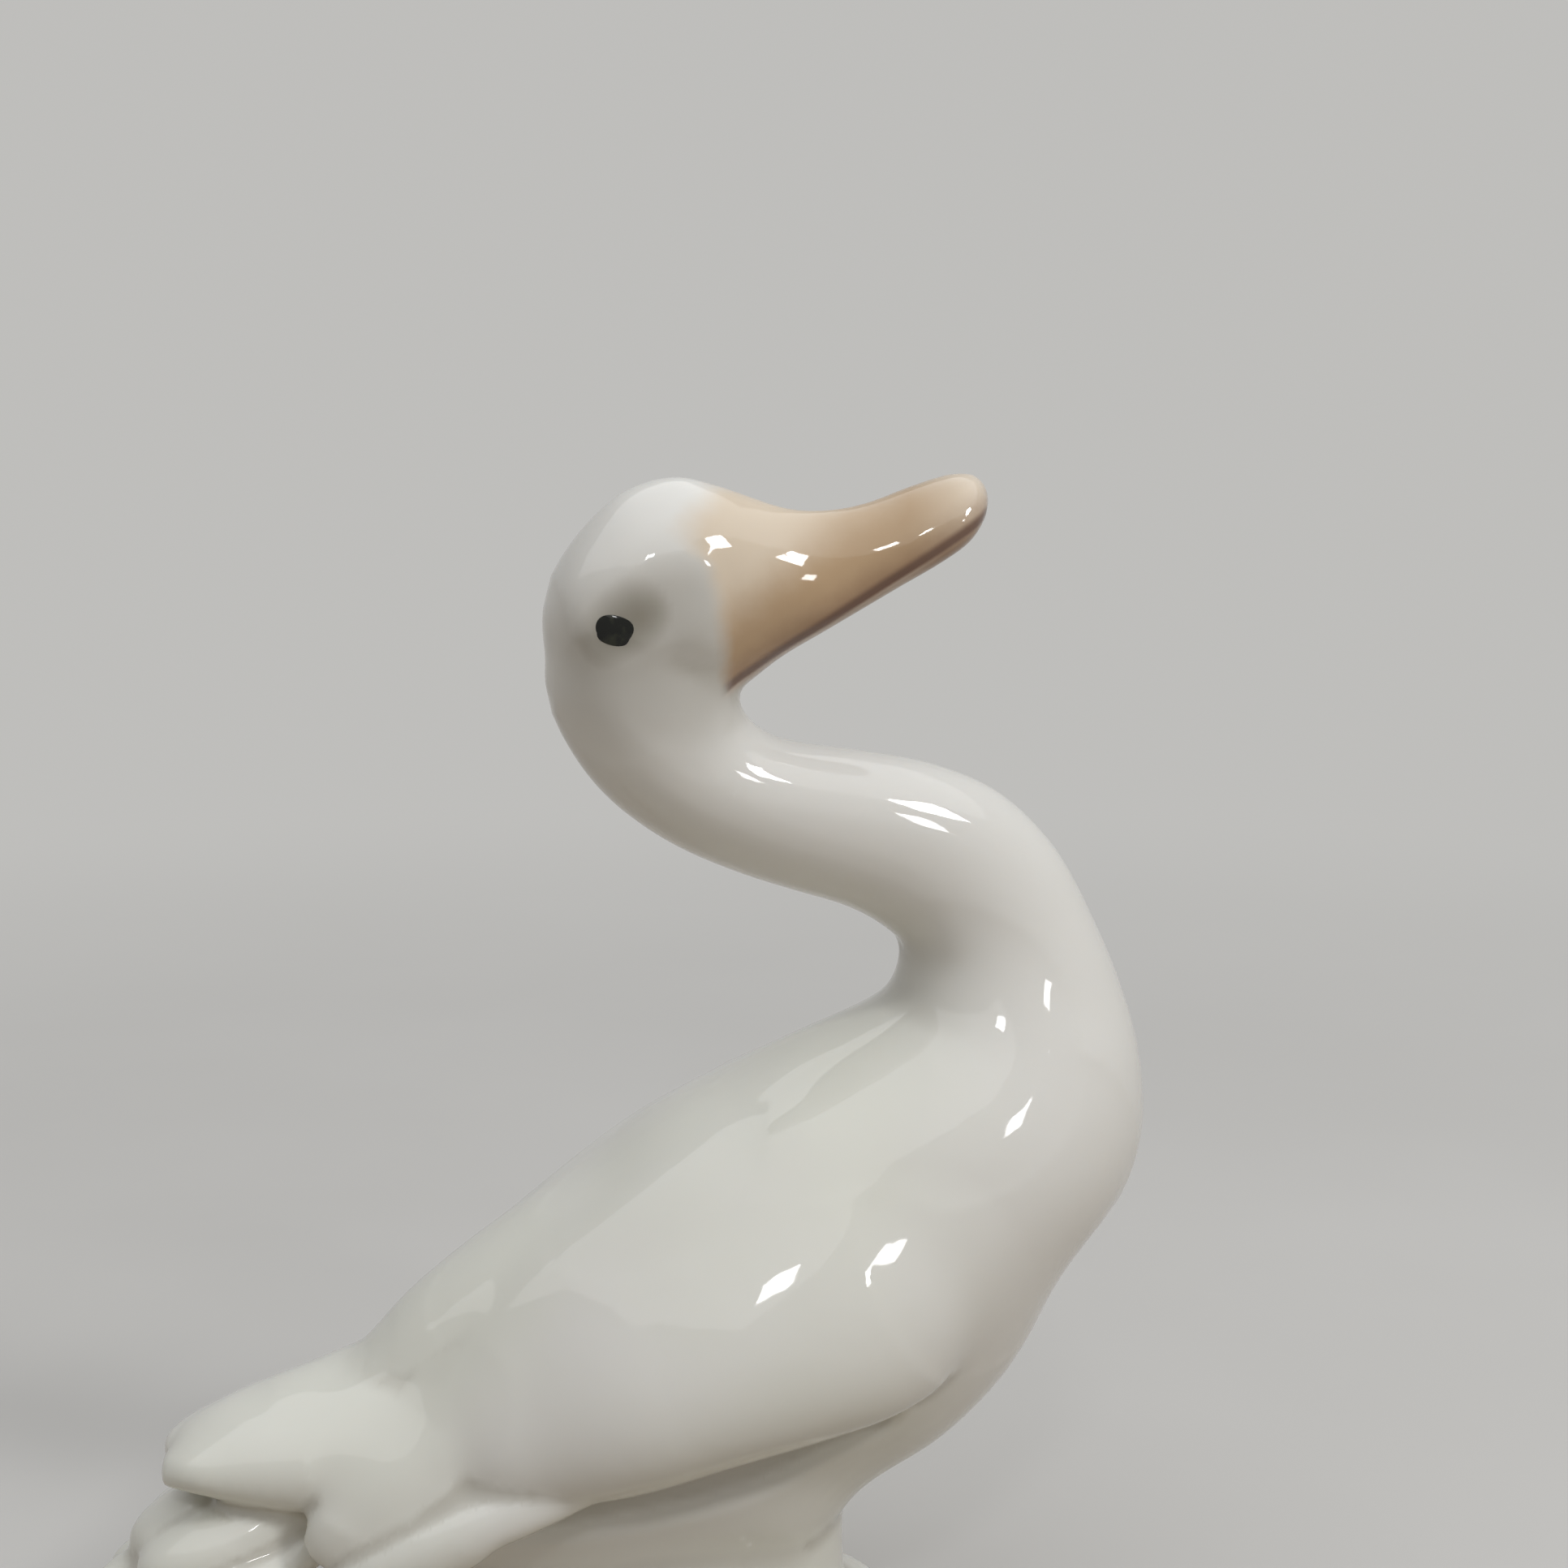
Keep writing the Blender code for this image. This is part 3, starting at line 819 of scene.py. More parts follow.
@dataclass
class Wing:
    """One folded wing, from its shoulder to its long rear feathers.

    Every place is drawn for the left wing, on the trunk's grid.

    Attributes:
        bulge: Its greatest thickness.
        droop: How far its fullest line lies below the middle, as a share of half its height.
        spans: Upper edge, lower edge and share of the thickness, from the shoulder to the tip.
        feathers: Root, middle, tip and share of the width of each lobe.
        feather_face: Direction that the lobes' flat side looks to.
        shoulder: How the lower wing is filled out.
        undercut: How the flank is hollowed below the wing.
        undercut_rise: How much of the undercut's push goes upwards.
        lean: How far the wing's outward direction leans upwards.
        soft_spots: Where the wing's rear is softened.
    """

    trunk: Trunk
    side: Side
    bulge: float = 20.0 * MM
    droop: float = 0.3
    spans: tuple[tuple[Point, Point, float], ...] = (
        ((35.0, 10.0, 58.0), (33.0, 12.0, 44.0), 0.20),
        ((28.0, 11.0, 65.0), (27.0, 17.0, 32.5), 0.62),
        ((19.0, 11.0, 65.5), (20.0, 19.5, 28.5), 0.85),
        ((9.0, 10.5, 62.5), (11.0, 21.0, 26.8), 1.00),
        ((-4.0, 9.0, 56.5), (0.0, 22.0, 24.8), 0.98),
        ((-15.0, 7.0, 49.5), (-12.0, 21.5, 22.0), 0.85),
        ((-25.0, 3.5, 42.2), (-23.0, 19.0, 20.5), 0.72),
        ((-34.0, 0.5, 33.5), (-31.0, 15.8, 20.5), 0.58),
        ((-43.0, -1.0, 29.1), (-41.0, 13.6, 20.0), 0.54),
        ((-52.0, -1.2, 26.2), (-50.0, 11.4, 20.8), 0.40),
        ((-58.3, -0.8, 23.4), (-57.5, 8.6, 21.8), 0.24),
        ((-61.2, 0.8, 21.8), (-61.2, 5.2, 21.4), 0.12),
    )
    feathers: tuple[tuple[Point, Point, Point, float], ...] = (
        ((-9.0, 14.0, 33.5), (-28.5, 15.2, 24.8), (-43.8, 13.6, 16.2), 1.0),
        ((-8.0, 18.6, 26.5), (-24.0, 19.2, 20.2), (-42.0, 16.4, 12.4), 0.62),
    )
    feather_length: float = 40.8 * MM
    feather_width: float = 11.5 * MM
    feather_thickness: float = 6.5 * MM
    feather_face: Point = (-0.15, 1.0, 0.35)
    shoulder: Stroke = Stroke(((-8.0, 24.0, 34.0), (20.0, 23.0, 42.0)), 16.0 * MM, 1.6 * MM)
    undercut: Stroke = Stroke(((-24.0, 18.5, 17.0), (18.0, 20.5, 26.0)), 4.8 * MM, 2.8 * MM)
    undercut_rise: float = 0.15
    lean: float = 0.25
    soft_spots: tuple[SoftSpot, ...] = (
        SoftSpot((-39.0, 1.0, 31.5), 7.0, 3.1),
        SoftSpot((-45.0, 1.0, 29.0), 8.0, 4.0),
        SoftSpot((-54.0, 1.0, 25.0), 7.0, 4.0),
        SoftSpot((-31.0, 17.0, 32.0), 8.0, 5.5),
        SoftSpot((-38.0, 15.0, 25.5), 7.5, 7.0),
    )

    def place(self, point: Point) -> Vector:
        """Return the real place of a point drawn for the left wing, on this side."""
        return self.trunk.grid.place(self.side.of(point))

    def lay(self, clay: Clay) -> None:
        """Lay the wing's mass and the feather lobes on it.

        Args:
            clay: The mass that it is laid into.
        """
        rings = []
        for upper, lower, fullness in self.spans:
            high, low = self.place(upper), self.place(lower)
            up = (high - low) / 2
            outward = Vector((0.0, self.side.value, self.lean))
            outward = (outward - outward.project(up)).normalized()
            across = outward * self.bulge / 2 * fullness
            rings.append(Ring((high + low) / 2, across, up, self.droop * fullness))
        clay.loft(rings)

        first = self.feathers[0]
        drawn_length = (self.place(first[2]) - self.place(first[0])).length
        scale = self.feather_length / drawn_length
        face = Vector(self.side.of(self.feather_face))
        for root, halfway, tip, share in self.feathers:
            start = self.place(root)
            bend = start + (self.place(halfway) - start) * scale
            end = start + (self.place(tip) - start) * scale
            clay.lobe((start, bend, end), face, self.feather_width * share, self.feather_thickness)

    def soft_balls(self) -> list[SoftBall]:
        """Return the balls that soften the wing's rear."""
        return [self.trunk.grid.soft_ball(spot, self.side) for spot in self.soft_spots]

    def shape(self, skin: Skin) -> None:
        """Fill out the lower wing and hollow the flank below it.

        Args:
            skin: The skin to shape.
        """
        grid, outward = self.trunk.grid, self.side.outward
        bulge = outward * self.shoulder.amount
        skin.press(grid.line(self.shoulder.line, self.side), self.shoulder.reach, bulge)
        inward = (Vector((0.0, 0.0, self.undercut_rise)) - outward) * self.undercut.amount
        skin.press(grid.line(self.undercut.line, self.side), self.undercut.reach, inward)


@dataclass(frozen=True)
class FeatherRow:
    """One row of tail feathers: how many, the size of each, and how far above the tail's root they lie."""

    count: int
    length: float
    width: float
    thickness: float
    above: float


@dataclass
class Tail:
    """The fan of long tail feathers, the shorter coverts over them, and the crossed wing tips.

    Attributes:
        root: Where the feathers spring from, on the trunk's grid.
        crossing: Root, middle and tip of the lobe where the wing tips cross, on the same grid.
        spread: Angle between the outermost long feathers.
        dip: How far the tail points down.
        step: How much lower each tip lies than its inner neighbour's.
    """

    trunk: Trunk
    root: Point = (-32.0, 0.0, 19.0)
    crossing: tuple[Point, Point, Point] = ((-34.0, 0.0, 31.0), (-48.0, 0.0, 27.2), (-60.8, 0.0, 22.4))
    crossing_width: float = 12.0 * MM
    crossing_thickness: float = 5.5 * MM
    spread: float = radians(44.0)
    dip: float = radians(17.0)
    step: float = 1.6 * MM
    long_feathers: FeatherRow = FeatherRow(5, 39.0 * MM, 10.5 * MM, 5.8 * MM, 0.0)
    coverts: FeatherRow = FeatherRow(3, 33.8 * MM, 14.0 * MM, 8.4 * MM, 3.2 * MM)

    def lay(self, clay: Clay) -> None:
        """Lay both rows, and the lobe that joins the two wing tips.

        Args:
            clay: The mass that it is laid into.
        """
        upward = Vector((-sin(self.dip), 0.0, cos(self.dip)))
        spine = tuple(self.trunk.grid.place(point) for point in self.crossing)
        clay.lobe(spine, upward, self.crossing_width, self.crossing_thickness)
        for row in (self.long_feathers, self.coverts):
            root = self.trunk.grid.place(self.root) + upward * row.above
            for index in range(row.count):
                place = index - (row.count - 1) / 2
                turn = place / (self.long_feathers.count - 1) * self.spread
                heading = Vector((-cos(self.dip) * cos(turn), sin(turn), -sin(self.dip) * cos(turn)))
                tip = root + heading * row.length - upward * self.step * abs(place)
                clay.lobe((root, (root + tip) / 2, tip), upward, row.width, row.thickness)


@dataclass(frozen=True)
class Blend:
    """A colour mixed in by a mask: the colour and how much of it at the mask's fullest."""

    colour: Colour
    amount: float


class NodeSheet:
    """Helper that lays shader nodes into a tree and links them."""

    def __init__(self, tree: bpy.types.NodeTree) -> None:
        """Work on one node tree."""
        self.tree = tree

    def add(self, kind: str, **settings: object) -> bpy.types.Node:
        """Add a node.

        Args:
            kind: The node's type.
            settings: Its own properties, by name.

        Returns:
            The node.
        """
        node = self.tree.nodes.new(kind)
        for name, value in settings.items():
            setattr(node, name, value)
        return node

    def set(self, node: bpy.types.Node, **values: object) -> bpy.types.Node:
        """Fill a node's inputs.

        Args:
            node: The node.
            values: Outputs to link or values to set, by the input's name with _ for a space.

        Returns:
            The same node.
        """
        for name, value in values.items():
            self.feed(node.inputs[name.replace("_", " ")], value)
        return node

    def feed(self, socket: Socket, value: object) -> None:
        """Link an output to a socket, or set the socket's own value.

        Args:
            socket: The input to fill.
            value: An output, or a plain value.
        """
        if isinstance(value, Socket):
            self.tree.links.new(value, socket)
        else:
            socket.default_value = value

    def math(self, operation: str, first: object, second: object = 0.0) -> Socket:
        """Return the result of a Math node.

        Args:
            operation: What the node works out.
            first: Its first number.
            second: Its second number.

        Returns:
            The output socket.
        """
        node = self.add("ShaderNodeMath", operation=operation)
        self.feed(node.inputs[0], first)
        self.feed(node.inputs[1], second)
        return node.outputs[0]

    def smooth_step(self, value: object, span: tuple[object, object]) -> Socket:
        """Return a smooth change from 0 to 1.

        Args:
            value: What is read.
            span: Where the result is 0 and where it is 1; it may run downwards.

        Returns:
            The output socket.
        """
        node = self.add("ShaderNodeMapRange", interpolation_type="SMOOTHSTEP")
        self.set(node, Value=value, From_Min=span[0], From_Max=span[1])
        return node.outputs["Result"]

    def mix(self, amount: object, under: object, over: object) -> Socket:
        """Return one colour mixed over another.

        Args:
            amount: How much of the upper colour shows, from 0 to 1.
            under: The lower colour.
            over: The upper colour.

        Returns:
            The output socket.
        """
        # The node has sockets for each kind of data; 6, 7 and 2 are those for colours
        node = self.add("ShaderNodeMix", data_type="RGBA")
        self.feed(node.inputs["Factor"], amount)
        self.feed(node.inputs[6], under)
        self.feed(node.inputs[7], over)
        return node.outputs[2]

    def blend(self, mask: object, under: object, over: Blend) -> Socket:
        """Return a colour with a blend laid over it where the mask is 1."""
        return self.mix(self.math("MULTIPLY", mask, over.amount), under, over.colour)

    def attribute(self, name: str) -> Socket:
        """Return the value of one of the piece's own attributes."""
        return self.add("ShaderNodeAttribute", attribute_name=name).outputs["Fac"]

    def slope(self, value: object, through: Flat, rise: float) -> Socket:
        """Return the height at a value of the straight line that rises evenly through a place."""
        climb = self.math("MULTIPLY", self.math("SUBTRACT", value, through[0]), rise)
        return self.math("ADD", climb, through[1])

    def noise(self, vector: object, scale: float, detail: float) -> Socket:
        """Return a noise value on a vector."""
        node = self.set(self.add("ShaderNodeTexNoise"), Vector=vector, Scale=scale, Detail=detail)
        return node.outputs["Fac"]

    def curve(self, value: object, points: tuple[Flat, ...], low: float, high: float) -> Socket:
        """Return a drawn curve's value.

        Args:
            value: The socket that the curve is read at.
            points: Places on the curve, as what is read and what comes out.
            low: What comes out at the curve's bottom.
            high: What comes out at its top.

        Returns:
            The output socket, back in the points' own units.
        """
        start, end = points[0][0], points[-1][0]
        share = self.math("DIVIDE", self.math("SUBTRACT", value, start), end - start)
        node = self.add("ShaderNodeFloatCurve")
        line = node.mapping.curves[0]
        drawn = [((place - start) / (end - start), (out - low) / (high - low)) for place, out in points]
        line.points[0].location = drawn[0]
        line.points[1].location = drawn[-1]
        for place in drawn[1:-1]:
            line.points.new(*place)
        node.mapping.update()
        self.feed(node.inputs["Value"], share)
        return self.math("ADD", self.math("MULTIPLY", node.outputs["Value"], high - low), low)


class MaterialSheet(NodeSheet):
    """A sheet on a new material, with the material's shader and the piece's own coordinates at hand."""

    def __init__(self, name: str) -> None:
        """Make the material.

        Args:
            name: The material's name.
        """
        self.material = bpy.data.materials.new(name)
        self.material.use_nodes = True
        super().__init__(self.material.node_tree)
        self.shader = self.tree.nodes["Principled BSDF"]
        self.place = self.add("ShaderNodeTexCoord").outputs["Object"]

    def waves(self, group: bpy.types.NodeTree, scale: float, height: float) -> Socket:
        """Return the normal of glaze with waves of a scale and height."""
        node = self.add("ShaderNodeGroup", node_tree=group)
        return self.set(node, Vector=self.place, Wave_Scale=scale, Height=height).outputs["Normal"]


class SkinSheet(MaterialSheet):
    """The sheet of the duck's skin, which also has the place forward and the height in millimetres."""

    def __init__(self, name: str) -> None:
        """Make the material.

        Args:
            name: The material's name.
        """
        super().__init__(name)
        axes = self.add("ShaderNodeSeparateXYZ")
        self.feed(axes.inputs[0], self.place)
        self.forward = self.math("DIVIDE", axes.outputs["X"], MM)
        self.height = self.math("DIVIDE", axes.outputs["Z"], MM)


def wavy_glaze_group() -> bpy.types.NodeTree:
    """Return the node group that gives fired glaze its faint unevenness.

    Returns:
        A group with inputs Vector, Wave Scale and Height, and output Normal.
    """
    tree = bpy.data.node_groups.new("wavy_glaze", "ShaderNodeTree")
    interface = tree.interface
    interface.new_socket("Vector", in_out="INPUT", socket_type="NodeSocketVector")
    interface.new_socket("Wave Scale", in_out="INPUT", socket_type="NodeSocketFloat")
    interface.new_socket("Height", in_out="INPUT", socket_type="NodeSocketFloat")
    interface.new_socket("Normal", in_out="OUTPUT", socket_type="NodeSocketVector")
    sheet = NodeSheet(tree)
    given = sheet.add("NodeGroupInput")
    waves = sheet.add("ShaderNodeTexNoise")
    sheet.set(waves, Vector=given.outputs["Vector"], Scale=given.outputs["Wave Scale"])
    sheet.set(waves, Detail=1.5, Roughness=0.4)
    bump = sheet.add("ShaderNodeBump")
    sheet.set(bump, Height=waves.outputs["Fac"], Distance=given.outputs["Height"], Strength=1.0)
    result = sheet.add("NodeGroupOutput")
    sheet.set(result, Normal=bump.outputs["Normal"])
    return tree


@dataclass(frozen=True)
class PorcelainFinish:
    """White glaze with the peach bill fired onto it, and a bare foot.

    Attributes:
        white: The glaze over most of the body.
        cool_white: The glaze over the wings, back and tail, where it lies thicker.
        pooled_glaze_and_crease_shade: Painted shade in the creases, darker where the glaze has also run
            together there.
        shaded: Painted shade round the eyes, with some grey pigment, and fainter painted shade over the
            cheeks.
        peach: The bill's colour along its side.
        peach_with_top_light: The bill's paler peach at its tip, also used as painted light on its top.
        lower_bill_shade: Painted shade, darker and redder, towards the bill's lower edge.
        mouth: Painted shade along the line of the mouth.
        pale_tip: The white that shows through at the bill's very tip.
        lower_bill_reflection: Painted reflection, paler, on the lower bill below the line of the mouth.
        top_light_fade: How much of the painted light on the bill's top fades towards its middle.
        speck: The tiny dark grains in the glaze.
        bisque: The bare foot.
        edge_line: Where white turns to peach: height above the base's
            underside and place forward, in millimetres.
        soft_line: How wide that turn is at each height.
        chin_place: A place on the line under which the chin stays white, forward and up.
        chin_slope: How steeply that line rises.
        bill_edge_place: A place on the line from which the bill's colours are measured upwards.
        bill_edge_slope: How steeply that line rises.

    A name that ends in span says where a mask starts and where it is full, in millimetres,
    but cloud_span in the noise's own value and speck_span as a share of a cell.
    A name that ends in scale holds how fine a noise is.
    """

    white: Colour = (0.800, 0.792, 0.758, 1.0)
    cool_white: Colour = (0.755, 0.758, 0.690, 1.0)
    pooled_glaze_and_crease_shade: Blend = Blend((0.480, 0.455, 0.390, 1.0), 0.55)
    shaded: Blend = Blend((0.190, 0.165, 0.110, 1.0), 0.82)
    peach: Colour = (0.510, 0.355, 0.210, 1.0)
    peach_with_top_light: Colour = (0.740, 0.630, 0.495, 1.0)
    lower_bill_shade: Blend = Blend((0.300, 0.170, 0.095, 1.0), 0.75)
    mouth: Blend = Blend((0.130, 0.060, 0.040, 1.0), 0.80)
    pale_tip: Blend = Blend((0.800, 0.740, 0.665, 1.0), 0.60)
    lower_bill_reflection: Blend = Blend((0.640, 0.540, 0.465, 1.0), 0.70)
    top_light_fade: float = 0.55
    speck: Blend = Blend((0.10, 0.07, 0.05, 1.0), 0.55)
    bisque: Colour = (0.70, 0.68, 0.62, 1.0)
    edge_line: tuple[Flat, ...] = (
        (116.0, 8.6), (120.3, 8.1), (124.6, 7.4), (129.5, 6.6),
        (133.5, 5.6), (137.0, 3.4), (140.0, 5.6), (146.0, 11.0),
    )
    soft_line: tuple[Flat, ...] = (
        (116.0, 2.2), (124.0, 3.0), (130.0, 3.2), (135.0, 4.0), (139.0, 6.5), (146.0, 7.5),
    )
    chin_place: Flat = (8.0, 119.2)
    chin_slope: float = 0.35
    bill_edge_place: Flat = (15.0, 120.3)
    bill_edge_slope: float = 0.63
    chin_span: Flat = (-0.8, 0.8)
    top_light_span: Flat = (8.5, 17.0)
    top_light_fade_span: Flat = (12.0, 25.0)
    tip_span: Flat = (28.0, 38.0)
    tip_share: float = 0.9
    pale_tip_span: Flat = (34.0, 42.0)
    lower_bill_shade_span: Flat = (8.5, 2.5)
    lower_bill_reflection_span: Flat = (3.8, 3.2)
    lower_bill_reflection_front_span: Flat = (34.0, 28.0)
    mouth_shade_under_span: Flat = (3.2, 3.8)
    mouth_shade_over_span: Flat = (5.2, 4.2)
    cloud_span: Flat = (0.25, 0.60)
    behind_breast_span: Flat = (44.0, 20.0)
    below_neck_span: Flat = (98.0, 78.0)
    speck_span: Flat = (0.030, 0.012)
    speck_rarity: float = 0.93
    foot_span: Flat = (0.45, 0.15)
    cloud_scale: float = 28.0
    edge_scale: float = 260.0
    mottle_scale: float = 420.0
    mottle_reach: float = 2.0
    speck_scale: float = 95.0
    gloss: float = 0.045
    bare_roughness: float = 0.75
    refraction: float = 1.52
    translucency: float = 0.12
    glow_reach: float = 1.5 * MM
    glow_spread: Point = (1.0, 0.85, 0.7)
    wave_scale: float = 230.0
    wave_height: float = 0.036 * MM

    def dress(self, piece: bpy.types.Object, group: bpy.types.NodeTree) -> None:
        """Give a piece this finish, which reads the piece's own attributes.

        Args:
            piece: The duck's body.
            group: The wavy glaze node group.
        """
        sheet = SkinSheet("white_porcelain")
        colour = sheet.mix(self.thick_glaze(sheet), self.white, self.cool_white)
        # Painted shade in the creases, where the glaze also pools
        colour = sheet.blend(sheet.attribute(CREASE_POOL_AND_SHADE_MASK), colour, self.pooled_glaze_and_crease_shade)
        # Painted shade round the eyes, with some grey pigment, and over the cheeks
        colour = sheet.blend(sheet.attribute(SHADE_MASK), colour, self.shaded)
        colour = sheet.mix(self.bill_mask(sheet), colour, self.bill_colour(sheet))
        colour = sheet.blend(self.specks(sheet), colour, self.speck)
        bare = sheet.smooth_step(sheet.height, self.foot_span)
        rough = sheet.math("MULTIPLY", bare, self.bare_roughness - self.gloss)
        sheet.set(
            sheet.shader,
            Base_Color=sheet.mix(bare, colour, self.bisque),
            Roughness=sheet.math("ADD", rough, self.gloss),
            IOR=self.refraction,
            Subsurface_Weight=self.translucency,
            Subsurface_Radius=self.glow_spread,
            Subsurface_Scale=self.glow_reach,
            Normal=sheet.waves(group, self.wave_scale, self.wave_height),
        )
        piece.data.materials.append(sheet.material)

    def thick_glaze(self, sheet: SkinSheet) -> Socket:
        """Return the cloudy mask of the thicker glaze, which covers the body behind the breast.

        Args:
            sheet: The skin's sheet.

        Returns:
            The mask's socket.
        """
        clouds = sheet.smooth_step(sheet.noise(sheet.place, self.cloud_scale, detail=2.0), self.cloud_span)
        behind = sheet.smooth_step(sheet.forward, self.behind_breast_span)
        below = sheet.smooth_step(sheet.height, self.below_neck_span)
        return sheet.math("MULTIPLY", clouds, sheet.math("MULTIPLY", behind, below))

    def bill_mask(self, sheet: SkinSheet) -> Socket:
        """Return 1 on the bill and 0 on the head, with an edge that is soft on top and firm below.

        Args:
            sheet: The skin's sheet.

        Returns:
            The mask's socket.
        """
        edge = sheet.curve(sheet.height, self.edge_line, low=2.0, high=12.0)
        softness = sheet.curve(sheet.height, self.soft_line, low=0.0, high=8.0)
        wander = sheet.math("SUBTRACT", sheet.noise(sheet.place, self.edge_scale, detail=2.0), 0.5)
        wander = sheet.math("MULTIPLY", sheet.math("MULTIPLY", wander, softness), 0.5)
        ahead = sheet.math("ADD", sheet.math("SUBTRACT", sheet.forward, edge), wander)
        half = sheet.math("MULTIPLY", softness, 0.5)
        mask = sheet.smooth_step(ahead, (sheet.math("MULTIPLY", half, -1.0), half))
        chin = sheet.slope(sheet.forward, self.chin_place, self.chin_slope)
        over_chin = sheet.math("SUBTRACT", sheet.height, chin)
        return sheet.math("MULTIPLY", mask, sheet.smooth_step(over_chin, self.chin_span))

    def bill_colour(self, sheet: SkinSheet) -> Socket:
        """Return the bill's peach, paler at its tip, with painted light on its top, painted shade towards its
        lower edge and along the mouth, and a painted reflection on the lower bill.

        Args:
            sheet: The skin's sheet.

        Returns:
            The colour's socket.
        """
        forward = sheet.forward
        lower_edge = sheet.slope(forward, self.bill_edge_place, self.bill_edge_slope)
        above = sheet.math("SUBTRACT", sheet.height, lower_edge)
        mottle = sheet.math("SUBTRACT", sheet.noise(sheet.place, self.mottle_scale, detail=3.0), 0.5)
        mottled = sheet.math("ADD", above, sheet.math("MULTIPLY", mottle, self.mottle_reach))
        # Painted light on the bill's top, fading towards its middle; the tip is paler peach
        light_fade = sheet.math("MULTIPLY", sheet.smooth_step(forward, self.top_light_fade_span), self.top_light_fade)
        top = sheet.smooth_step(mottled, self.top_light_span)
        top = sheet.math("MULTIPLY", top, sheet.math("SUBTRACT", 1.0, light_fade))
        tip = sheet.math("MULTIPLY", sheet.smooth_step(forward, self.tip_span), self.tip_share)
        colour = sheet.mix(sheet.math("MAXIMUM", top, tip), self.peach, self.peach_with_top_light)
        colour = sheet.blend(sheet.smooth_step(forward, self.pale_tip_span), colour, self.pale_tip)
        # Painted shade towards the bill's lower edge
        colour = sheet.blend(sheet.smooth_step(mottled, self.lower_bill_shade_span), colour, self.lower_bill_shade)
        # A painted reflection, paler, on the lower bill below the line of the mouth
        lower_bill_reflection = sheet.smooth_step(above, self.lower_bill_reflection_span)
        lower_bill_reflection = sheet.math("MULTIPLY", lower_bill_reflection, sheet.smooth_step(forward, self.lower_bill_reflection_front_span))
        colour = sheet.blend(lower_bill_reflection, colour, self.lower_bill_reflection)
        # Painted shade in the line of the mouth
        mouth_shade = sheet.smooth_step(above, self.mouth_shade_under_span)
        mouth_shade = sheet.math("MULTIPLY", mouth_shade, sheet.smooth_step(above, self.mouth_shade_over_span))
        return sheet.blend(mouth_shade, colour, self.mouth)

    def specks(self, sheet: SkinSheet) -> Socket:
        """Return the mask of the few tiny dark specks in the glaze.

        Args:
            sheet: The skin's sheet.

        Returns:
            The mask's socket.
        """
        cells = sheet.add("ShaderNodeTexVoronoi", feature="F1")
        sheet.set(cells, Vector=sheet.place, Scale=self.speck_scale)
        chosen = sheet.add("ShaderNodeSeparateColor")
        sheet.feed(chosen.inputs[0], cells.outputs["Color"])
        rare = sheet.math("GREATER_THAN", chosen.outputs[0], self.speck_rarity)
        return sheet.math("MULTIPLY", rare, sheet.smooth_step(cells.outputs["Distance"], self.speck_span))


@dataclass(frozen=True)
class EyeFinish:
    """Glossy black enamel that thins to dark olive in places."""

    black: Colour = (0.008, 0.009, 0.007, 1.0)
    olive: Colour = (0.030, 0.033, 0.020, 1.0)
    roughness: float = 0.07
    refraction: float = 1.38
    brush_scale: float = 700.0
    brush_span: Flat = (0.48, 0.72)
    wave_scale: float = 600.0
    wave_height: float = 0.05 * MM

    def dress(self, piece: bpy.types.Object, group: bpy.types.NodeTree) -> None:
        """Give a piece this finish.

        Args:
            piece: The eye.
            group: The wavy glaze node group.
        """
        sheet = MaterialSheet("black_enamel")
        brush = sheet.smooth_step(sheet.noise(sheet.place, self.brush_scale, detail=3.0), self.brush_span)
        sheet.set(
            sheet.shader,
            Base_Color=sheet.mix(brush, self.black, self.olive),
            Roughness=self.roughness,
            IOR=self.refraction,
            Normal=sheet.waves(group, self.wave_scale, self.wave_height),
        )
        piece.data.materials.append(sheet.material)


@dataclass
class Eye:
    """One eye: a low dome of black enamel that stands slightly proud of the head.

    Attributes:
        place: Where the left eye is, on the head's grid.
        proud: How far the dome stands out of the skin.
        sunk: How far it goes into the skin.
        tilt: How far its front end points down.
        squareness: How much fuller than an oval it is at its corners.
    """

    head: Head
    side: Side
    place: Point = (-5.0, 12.0, -4.9)
    length: float = 4.2 * MM
    height: float = 3.2 * MM
    proud: float = 0.35 * MM
    sunk: float = 0.9 * MM
    tilt: float = radians(14.0)
    squareness: float = 0.16

    def build(self, tree: BVHTree) -> bpy.types.Object:
        """Build the eye.

        Args:
            tree: Search tree of the skin that it is set on.

        Returns:
            The eye's object.
        """
        start = self.head.grid.place(self.side.of(self.place))
        spot, normal, _, _ = tree.find_nearest(start)
        outward = normal.normalized()
        along = Vector((cos(self.tilt), 0.0, -sin(self.tilt)))
        along = (along - along.project(outward)).normalized()
        upward = outward.cross(along) * -self.side.value
        bm = bmesh.new()
        bmesh.ops.create_uvsphere(bm, u_segments=40, v_segments=20, radius=1.0)
        thickness = self.proud + self.sunk
        # The dome is this much wider where its middle lies than where it leaves the skin
        wider = 1.0 / sqrt(1.0 - (self.sunk / thickness) ** 2)
        half_length, half_height = wider * self.length / 2, wider * self.height / 2
        for vert in bm.verts:
            across, rise, out = vert.co
            # A little squareness, as a brushed oval has
            fullness = 1.0 + self.squareness * (2 * across * rise) ** 2
            offset = along * (across * fullness * half_length) + upward * (rise * fullness * half_height)
            vert.co = spot + offset + outward * (out * thickness - self.sunk)
        bmesh.ops.recalc_face_normals(bm, faces=bm.faces[:])
        piece = new_object(f"eye_{self.side.name.lower()}", bm)
        piece.data.shade_smooth()
        return piece


